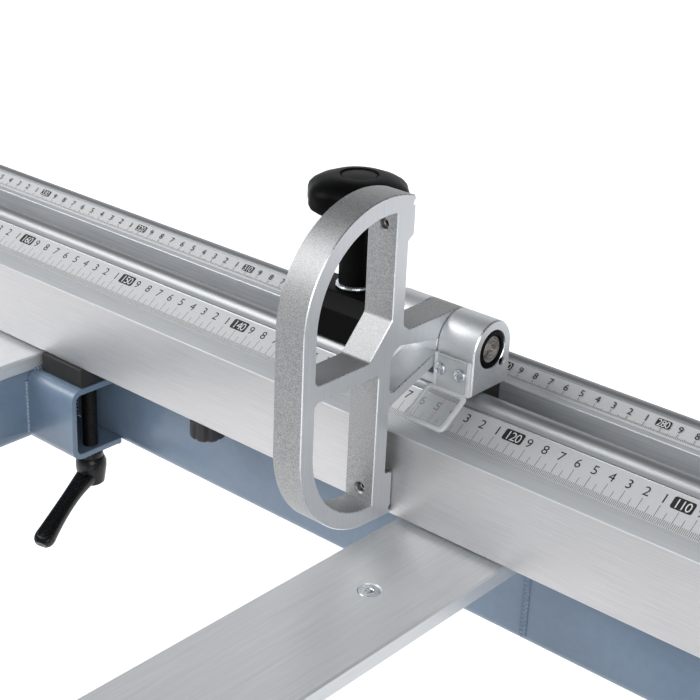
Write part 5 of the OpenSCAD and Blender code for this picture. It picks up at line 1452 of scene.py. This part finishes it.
@dataclass
class Cabinet:
    """Sheet cabinet with louvres, cover plates, feet, rear door, control panel and handwheels."""

    left: float = -370.0
    right: float = 340.0
    front: float = -400.0
    rear: float = 400.0
    low: float = -765.0
    wheels: tuple[float, float] = (50.0, 250.0)
    wheel_z: float = -283.6
    skin: float = 3.3
    button_z: float = -157.5
    panel_y: float = -450.0
    buttons: tuple[float, float] = (110.0, 170.0)
    stop_x: float = 254.0

    def body(self, frame: Frame) -> None:
        """The painted body, its louvres, and the cover plates with their screws."""
        refine(frame, "cabinet", [PALE], 1.6)
        shell, plates = Shell(), Shell()
        for k in range(9):
            z = self.low + 330 - 26 * k
            for x, out in ((self.right, 1.0), (self.left, -1.0)):
                shell.join(louvre((x, 0, z), 260, 14, 7, Axis.X, out))
        # BLACK on the louvres is painted shade under their lips.
        add_piece("side_louvres", shell, "base", [PALE, BLACK])
        for x, out in ((self.right, 1.0), (self.left - 2.0, -1.0)):
            plates.prism(rectangle(-330, 330, self.low + 30, self.low + 95, 6, 4), x, x + 2.0, Axis.X, 0.6)
            for z, y in product((42, 83), (-318, 318)):
                plates.join(pan_screw((x + 1 + out, y, self.low + z), 4.2, 2.2, Axis.X, out).marked(1))
        plates.prism(rectangle(-330, 300, self.low + 30, self.low + 240, 8, 4), self.front - 1.6, self.front,
                     Axis.Y, 0.5)
        for z, x in product((42, 228), (-318, 288)):
            plates.join(pan_screw((x, self.front - 1.6, self.low + z), 4.2, 2.2, Axis.Y, -1.0).marked(1))
        add_piece("cover_plates", plates, "base", [PALE, ZINC])

    def feet(self) -> None:
        """Four feet: a rubber pad, a domed plate, a threaded stem and two hexagon nuts."""
        shell = Shell()
        pad = [(0, -875), (34, -875), (36, -873), (36, -868), (34, -866), (20, -860), (13, -857), (0, -857)]
        thread = [(9.2 + 0.6 * (k % 2), -856 + 1.5 * k) for k in range(60)]
        stem = [(0, -857.5)] + thread + [(9.2, -765), (0, -765)]
        for x, y in product((self.left + 50, self.right - 50), (self.front + 50, self.rear - 50)):
            shell.lathe(pad, (x, y, 0), Axis.Z, 48)
            shell.lathe(stem, (x, y, 0), Axis.Z, 28, 1)
            for z in (-850, -777):
                shell.prism(ring(x, y, 17, 6), z, z + 11, Axis.Z, 0.8, (), (1, 1, 1))
        add_piece("foot_set", shell, "base", [RUBBER, ZINC], ("leveling_feet",))

    def door(self, frame: Frame) -> None:
        """The rear door with its louvres, a turned latch and rounded edges."""
        refine(frame, "rear_door", [PALE], 1.0)
        shell = Shell()
        for k in range(5):
            shell.join(louvre((0, self.rear + self.skin, -350 - 24 * k), 260, 13, 6, Axis.Y))
        latch = [(0, 3.3), (14, 3.3), (14, 6), (12, 8.5), (0, 8.5)]
        shell.lathe(latch, (-195, self.rear, -455), Axis.Y, 40, 2)
        # The slit is a black bar, painted shade for the dark inside of the latch's slot.
        slit = rectangle(-199, -191, -466, -444, 3.9, 6)
        shell.prism(slit, self.rear + 8.3, self.rear + 10.2, Axis.Y, 0.6, (), (1, 1, 1))
        # BLACK paints shade under the door louvres' lips.
        add_piece("door_louvres", shell, "door", [PALE, BLACK, ZINC])

    def panel(self, frame: Frame) -> None:
        """The switch box with bright rings, domed buttons, and a mushroom stop on a yellow ring."""
        refine(frame, "control_panel", [BLACK], 2.0)
        y, z = self.panel_y, self.button_z
        rings = Shell()
        bezel = [(13.5, 0.2), (13.5, -2.6), (14.6, -3), (17, -2.4), (17.6, -0.4), (17.6, 0.2)]
        for x in self.buttons:
            rings.lathe(bezel, (x, y, z), Axis.Y, 48)
        for screw_z, x in product((-195, -120), (80, 310)):
            rings.join(pan_screw((x, y, screw_z), 3.4, 1.8, Axis.Y, -1.0))
        add_piece("button_rings", rings, "base", [ZINC])
        plate = [(8.5, 0.2), (8.5, -1.6), (24, -1.6), (26, -0.8), (26, 0.2)]
        shell = Shell().lathe(plate, (self.stop_x, y, z), Axis.Y, 56)
        add_piece("stop_ring", shell, "base", [YELLOW])
        cap = [(0, -4.2), (6, -4.6), (10.6, -6), (12.2, -5.4), (12.6, -4), (12.6, 5), (0, 5)]
        for name, x, body, finish, slot, node in (
                ("start_cap", self.buttons[0], "start", GREEN, "green_plastic", "start_button"),
                ("stop_cap", self.buttons[1], "stop_key", RED, "red_plastic", "stop_button")):
            add_piece(name, Shell().lathe(cap, (x, y, z), Axis.Y, 48), body, [finish], (node,))
        head = [(0, -26), (9, -25.4), (16, -23), (19.4, -18.5), (20, -15), (19, -12), (15, -10), (8, -10),
                (8, 6), (0, 6)]
        shell = Shell().lathe(head, (self.stop_x, y, z), Axis.Y, 56)
        add_piece("mushroom_stop", shell, "emergency", [RED], ("emergency_stop",))

    def build(self, frame: Frame) -> None:
        """Builds the cabinet's pieces and both handwheels."""
        self.body(frame)
        self.feet()
        self.door(frame)
        self.panel(frame)
        Handwheel("tilt_handwheel", "tilt_wheel", self.wheels[0], -340.3, self.wheel_z,
                  pinion=(18.0, 12)).build()
        Handwheel("rise_handwheel", "rise_wheel", self.wheels[1], -360.0, self.wheel_z).build()
        collars = Shell()
        collar = [(21.5, 0.2), (21.5, -5), (23, -6), (31, -4), (33, -1), (33, 0.2)]
        for x in self.wheels:
            collars.lathe(collar, (x, self.front, self.wheel_z), Axis.Y, 48)
        add_piece("wheel_collars", collars, "base", [CHROME])


@dataclass
class MainTable:
    """Ground iron table with its insert, side extension, rip rail, and the rip fence on its carrier."""

    rail_y: float = -500.0
    rail_z: float = -46.0
    posts: tuple[float, ...] = (40.0, 340.0, 940.0, 1330.0)
    nut_y: tuple[float, float] = (-430.0, -420.2)
    post_end: float = -420.0
    insert_x: float = 52.0
    insert_y: tuple[float, float] = (-320.5, 289.5)

    def build(self, frame: Frame) -> None:
        """Builds the tables, the insert's screws, the rail with its nuts, and the fence."""
        ground: Rule = lambda c, n: np.where(n[:, 2] > 0.9, 0, 1)
        refine(frame, "main_table", [CAST, RAW_CAST], 1.4, ground)
        refine(frame, "extension_table", [CAST, PALE], 1.4, ground)
        refine(frame, "table_insert", [SECTION], 0.5)
        screws = Shell()
        head = [(0, -0.6), (2.3, -0.6), (2.42, -0.9), (2.42, -5.8), (0, -5.8)]
        for y in self.insert_y:
            screws.lathe(head, (self.insert_x, y, 0), Axis.Z, 28)
        add_piece("insert_screw_heads", screws, "base", [ZINC])
        bar = [(0, 20), (21, 20), (22.5, 21.5), (22.5, 1398.5), (21, 1400), (0, 1400)]
        rail = Shell().lathe(bar, (0, self.rail_y, self.rail_z), Axis.X, 64)
        z = self.rail_z + 15
        for x in self.posts:
            rail.rod(8, self.rail_y, self.post_end, (x, 0, z), Axis.Y)
            rail.prism(ring(x, z, 14, 6), *self.nut_y, Axis.Y, 0.8, (ring(x, z, 7.9, 24),))
        add_piece("round_rail", rail, "base", [CHROME], ("rip_rail",))
        refine(frame, "rip_carrier", [RAW_CAST], 2.2)
        refine(frame, "rip_fence", [SECTION], 0.8)
        refine(frame, "rip_lock_lever", [SATIN_BLACK], 1.6)


@dataclass
class SawUnit:
    """Tilting unit: carriage, slide, motor, belt drive, blades with tipped teeth, riving knife and guard."""

    arbor_z: float = -57.5
    blade_r: float = 157.5
    teeth: int = 48
    scorer: Circle = (-231.5, -58.0, 60.0)
    motor: tuple[float, float] = (0.0, -300.0)
    motor_r: float = 75.0
    rib: float = 2.2
    rib_start: float = 116.5
    rib_step: float = 1.56
    hood_x: tuple[float, float] = (-30.0, 98.0)
    hood_side: tuple[float, float, float, float] = (-207.5, 237.5, 25.0, 150.0)
    hood_y: float = 40.0
    arm_x: float = 32.0
    arm_y: float = 650.0
    arm_z: float = 200.0
    bore: float = 15.1

    def disc(self, r: float, teeth: int, bore: float, y: float, z: float, half: float,
             relief: float) -> Shell:
        """A toothed disc: on each pitch the rim goes from the tip down its back to a gullet and up the face.

        The six points of a tooth lie at r less 0, 0.25, 0.62, 1, 0.98 and 0.55 of its depth d.
        """
        p = 2 * pi / teeth
        share = r / self.blade_r
        d = 6.6 * share
        turn = np.repeat(np.arange(teeth) * p, 6) + np.tile([0.0, 0.10, 0.52, 0.70, 0.86, 0.955], teeth) * p
        reach = r - np.tile([0.0, 0.25, 0.62, 1.0, 0.98, 0.55], teeth) * d
        rim = [tuple(q) for q in np.stack([y + reach * np.cos(turn), z + reach * np.sin(turn)], 1)]
        slots = []
        for k in range(4):
            a = k * pi / 2 + 0.4
            run, side = np.array([cos(a), sin(a)]), np.array([-sin(a), cos(a)])
            ends = [(0.70, -0.55), (0.86, -0.55), (0.86, 0.55), (0.70, 0.55)]
            slots.append([tuple(np.array([y, z]) + run * r * u + side * v) for u, v in ends])
        shell = Shell().prism(rim, -half + relief, half - relief, Axis.X, 0.0,
                              (ring(y, z, bore, 40), *(slots if relief else ())))
        if not relief:
            return shell
        for k in range(teeth):
            a = k * p
            run, side = np.array([cos(a), sin(a)]), np.array([-sin(a), cos(a)])
            tip = [(0.0, 0.0), (0.0, 1.7), (-6.2, 2.4), (-6.0, 0.0)]
            place = [tuple(np.array([y, z]) + run * (r + u * share) + side * v) for u, v in tip]
            shell.prism(place, -half, half, Axis.X, 0.12, (), (1, 1, 1))
        return shell

    def ribbed(self, r: float) -> Outline:
        """Profile of a ribbed pulley: eleven points at r, every second one sunk by the rib's depth."""
        return [(r - self.rib * (k % 2), self.rib_start + k * self.rib_step) for k in range(11)]

    def drive(self, frame: Frame) -> None:
        """Blades, flanges with the arbor's nut, pulleys with grooves, and the ribbed belt."""
        az, bore = self.arbor_z, self.bore
        add_piece("tipped_blade", self.disc(self.blade_r, self.teeth, bore, 0, az, 1.6, 0.5), "blade",
                  [SAW_STEEL, CARBIDE], ("saw_blade",))
        outer = [(bore, 1.6), (44, 1.6), (45, 2.4), (45, 9), (43, 11), (24, 14), (bore, 14), (bore, 1.6)]
        inner = [(bore, -1.6), (28, -1.6), (28, -7), (27, -8), (bore, -8), (bore, -1.6)]
        rings = Shell().lathe(outer, (0, 0, az), Axis.X, 64).lathe(inner, (0, 0, az), Axis.X, 56)
        rings.prism(ring(0, az, 18.5, 6), -15, -8, Axis.X, 0.8, (ring(0, az, bore, 40),))
        add_piece("flange_pair", rings, "blade", [CHROME], ("blade_flanges",))
        shaft = [(0, -16), (14, -16), (15, -15), (15, 116), (34, 116)] + self.ribbed(35)
        shaft += [(34, 133.5), (14, 134), (0, 134)]
        add_piece("turned_arbor", Shell().lathe(shaft, (0, 0, az), Axis.X, 56), "blade", [CHROME],
                  ("arbor",))
        shaft = [(0, 114), (46, 114), (50, 115)] + self.ribbed(50)
        shaft += [(50, 133.5), (14, 134), (12, 136), (12, 190), (0, 190)]
        add_piece("grooved_pulley", Shell().lathe(shaft, (0, *self.motor), Axis.X, 56), "pulley", [CHROME],
                  ("motor_pulley",))
        dress(frame, "drive_belt", RUBBER)
        sy, sz, sr = self.scorer
        disc = self.disc(sr, 24, 8.0, sy, sz, 1.6, 0.0)
        hub = [(0, -8), (15, -8), (16, -7), (16, 3), (15, 4), (10, 4), (10, 52), (0, 52)]
        pulley = [(0, 44.3), (19, 44.3), (20, 45), (18.4, 47), (18.4, 53), (20, 55), (19, 56), (0, 56)]
        for profile in (hub, pulley):
            disc.lathe(profile, (0, sy, sz), Axis.X, 40, 1)
        add_piece("scorer_set", disc, "scorer", [SAW_STEEL, CHROME], ("scoring_blade",))

    def motor_body(self) -> None:
        """Finned motor: a lathe profile with ring fins and a slotted fan cover, and a box with a gland."""
        y, z = self.motor
        r = self.motor_r
        fins: Outline = [(12.2, 148), (30, 148), (34, 150), (66, 152), (r - 3, 156), (r, 162)]
        for x in range(170, 269, 14):
            fins += [(r, x), (r + 4.6, x + 0.8), (r + 5, x + 1.6), (r + 5, x + 4.4), (r + 4.6, x + 5.2),
                     (r, x + 6)]
        fins += [(r, 276), (r - 2, 278), (r - 2, 280), (r, 282), (r, 308), (r - 5, 316), (r - 8, 318),
                 (62, 318)]
        for q in (60, 50, 40, 30, 20):
            fins += [(q, 318), (q, 315.5), (q - 5, 315.5), (q - 5, 318)]
        fins += [(12, 318), (0, 318)]
        inner: Outline = [(0, 200), (12.2, 200)]
        shell = Shell().lathe(inner + fins, (0, y, z), Axis.X, 72)
        shell.box((190, 260), (y - 35, y + 35), (z + r - 4, z + r + 20), 3.0)
        shell.box((188, 262), (y - 37, y + 37), (z + r + 20, z + r + 24), 1.6)
        shell.lathe([(0, 0), (9, 0), (9, -8), (7.5, -10), (7.5, -14), (0, -14)], (225, y - 34, z + r + 9),
                    Axis.Y, 28, 1)
        add_piece("finned_motor", shell, "saw_unit", [BLUE, BLACK], ("motor",))

    def hood(self) -> None:
        """The hood: a side outline with a sloped nose and tail, with round edges, and hollow from below."""
        x0, x1 = self.hood_x
        y0, y1, z0, z1 = self.hood_side
        corners = [(y0, z0), (y1, z0), (y1, z1 - 60), (y1 - 110, z1), (y0 + 70, z1), (y0, z1 - 80)]
        side = fillet(corners, {2: 30.0, 3: 70.0, 4: 60.0, 5: 40.0}, 8)
        piece = add_piece("shaped_hood", Shell().prism(side, x0, x1, Axis.X), "guard", [SATIN_BLACK],
                          ("guard_hood",))
        soften(piece, 7.0, 4, 40.0)
        wall = inset(np.array(side), 3.5) - np.where(np.array(side)[:, 1:] < z0 + 1, [[0.0, 8.0]], 0.0)
        carve(piece, Shell().prism([tuple(p) for p in wall], x0 + 3.5, x1 - 3.5, Axis.X), BLADE)
        rim = Shell()
        for x in (x0 + 0.2, x1 - 2.2):
            rim.prism(rectangle(y0 + 12, y1 - 12, z0 + 4, z0 + 16, 3, 3), x - 0.9, x + 2.9, Axis.X, 0.8)
        add_piece("hood_ribs", rim, "guard", [RUBBER])

    def guard(self, frame: Frame) -> None:
        """Guard: a rounded hood on a swept arm, with the post and a clamp handle."""
        self.hood()
        x, y, z, hood_y = self.arm_x, self.arm_y, self.arm_z, self.hood_y
        turn = np.linspace(0, 1, 9) * pi / 2
        out, back = 1 - np.sin(turn), 1 - np.cos(turn)
        bend = np.stack([x + 24 * out, y - 24 * back, z + 0 * turn], 1)
        drop = np.stack([x + 0 * turn, hood_y + 18 * out, z - 18 * back], 1)
        path = np.concatenate([[(208.7, y, z), (130, y, z)], bend, [(x, 500, z), (x, 200, z)], drop,
                               [(x, hood_y, 150)]])
        shell = Shell().tube(path, np.full(len(path), 19.6), 32)
        shell.lathe([(0, 190), (12, 190), (12, 261), (11, 262), (0, 262)], (0, y, z), Axis.X, 32, 1)
        socket = [(0, 150.2), (29, 150.2), (29, 153), (21, 157), (20.2, 162), (0, 162)]
        shell.lathe(socket, (x, hood_y, 0), Axis.Z, 40, 1)
        add_piece("guard_tube", shell, "guard", [PALE, ZINC], ("guard_arm",))
        refine(frame, "guard_post", [PALE], 2.0)

    def build(self, frame: Frame) -> None:
        """Builds the unit; its castings are copies of the nodes with rounded edges."""
        for node in ("tilt_carriage", "trunnion_guides", "rise_slide"):
            refine(frame, node, [RAW_CAST], 0.8, corner=50.0)
        refine(frame, "riving_knife", [SAW_STEEL], 0.4, corner=50.0)
        self.drive(frame)
        self.motor_body()
        self.guard(frame)


@dataclass
class SwingArm:
    """Telescopic arm under the outrigger, with its pivot on the cabinet and collars with a locking screw."""

    y: float = -305.0
    z: float = -515.0
    mouth: float = -1050.0

    def build(self, frame: Frame) -> None:
        """Builds the pivot, both tubes and the clamp collar at the outer tube's mouth."""
        refine(frame, "arm_pivot", [PALE], 1.2)
        refine(frame, "swing_arm", [BLUE], 2.4)
        refine(frame, "arm_extension", [BLUE], 2.4)
        y, z = self.y, self.z
        outer = rectangle(y - 38, y + 38, z - 37, z + 38, 6, 4)
        bore = rectangle(y - 34.9, y + 34.9, z - 34.6, z + 34.9, 3, 4)
        collar = Shell().prism(outer, self.mouth, self.mouth + 30, Axis.X, 1.0, (bore,))
        centre = (self.mouth + 15, y, z)
        boss = [(0, 37), (9, 37), (9, 42), (5, 43), (5, 54), (0, 54)]
        knob = [(0, 54), (12, 54), (15, 56), (16, 62), (14, 68), (8, 70), (0, 70)]
        collar.lathe(boss, centre, Axis.Z, 28, 1).lathe(knob, centre, Axis.Z, 40, 1, (6, 0.10))
        add_piece("arm_collar", collar, "arm", [BLUE, SATIN_BLACK])


def main() -> None:
    """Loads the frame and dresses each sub-assembly."""
    logging.basicConfig(level=logging.INFO, format="%(message)s")
    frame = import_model()
    log.info("nodes %d", len(frame["nodes"]))
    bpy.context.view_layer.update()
    Studio().build()
    Fence().build()
    FlipStop().build()
    dress(frame, "fence_scales", RULER)
    dress(frame, "fence_extension", ANODISED)
    Outrigger().build()
    SlidingTable().build(frame)
    Cabinet().build(frame)
    MainTable().build(frame)
    SawUnit().build(frame)
    SwingArm().build(frame)
    Ruler("front_ruler", 0.0, 0.0, 32.5, 1300.0, -14.7, (-4.3, -7.0, -11.0), 5.4,
          (12.0, 7.0)).build(FENCE_BODY)
    Ruler("rear_ruler", 48.96, 11.49, 35.0, 2958.5, -5.9, (-2.8, -4.3, -4.9), 4.1,
          (8.4, 4.8)).build(FENCE_BODY)


if __name__ == "__main__":
    main()
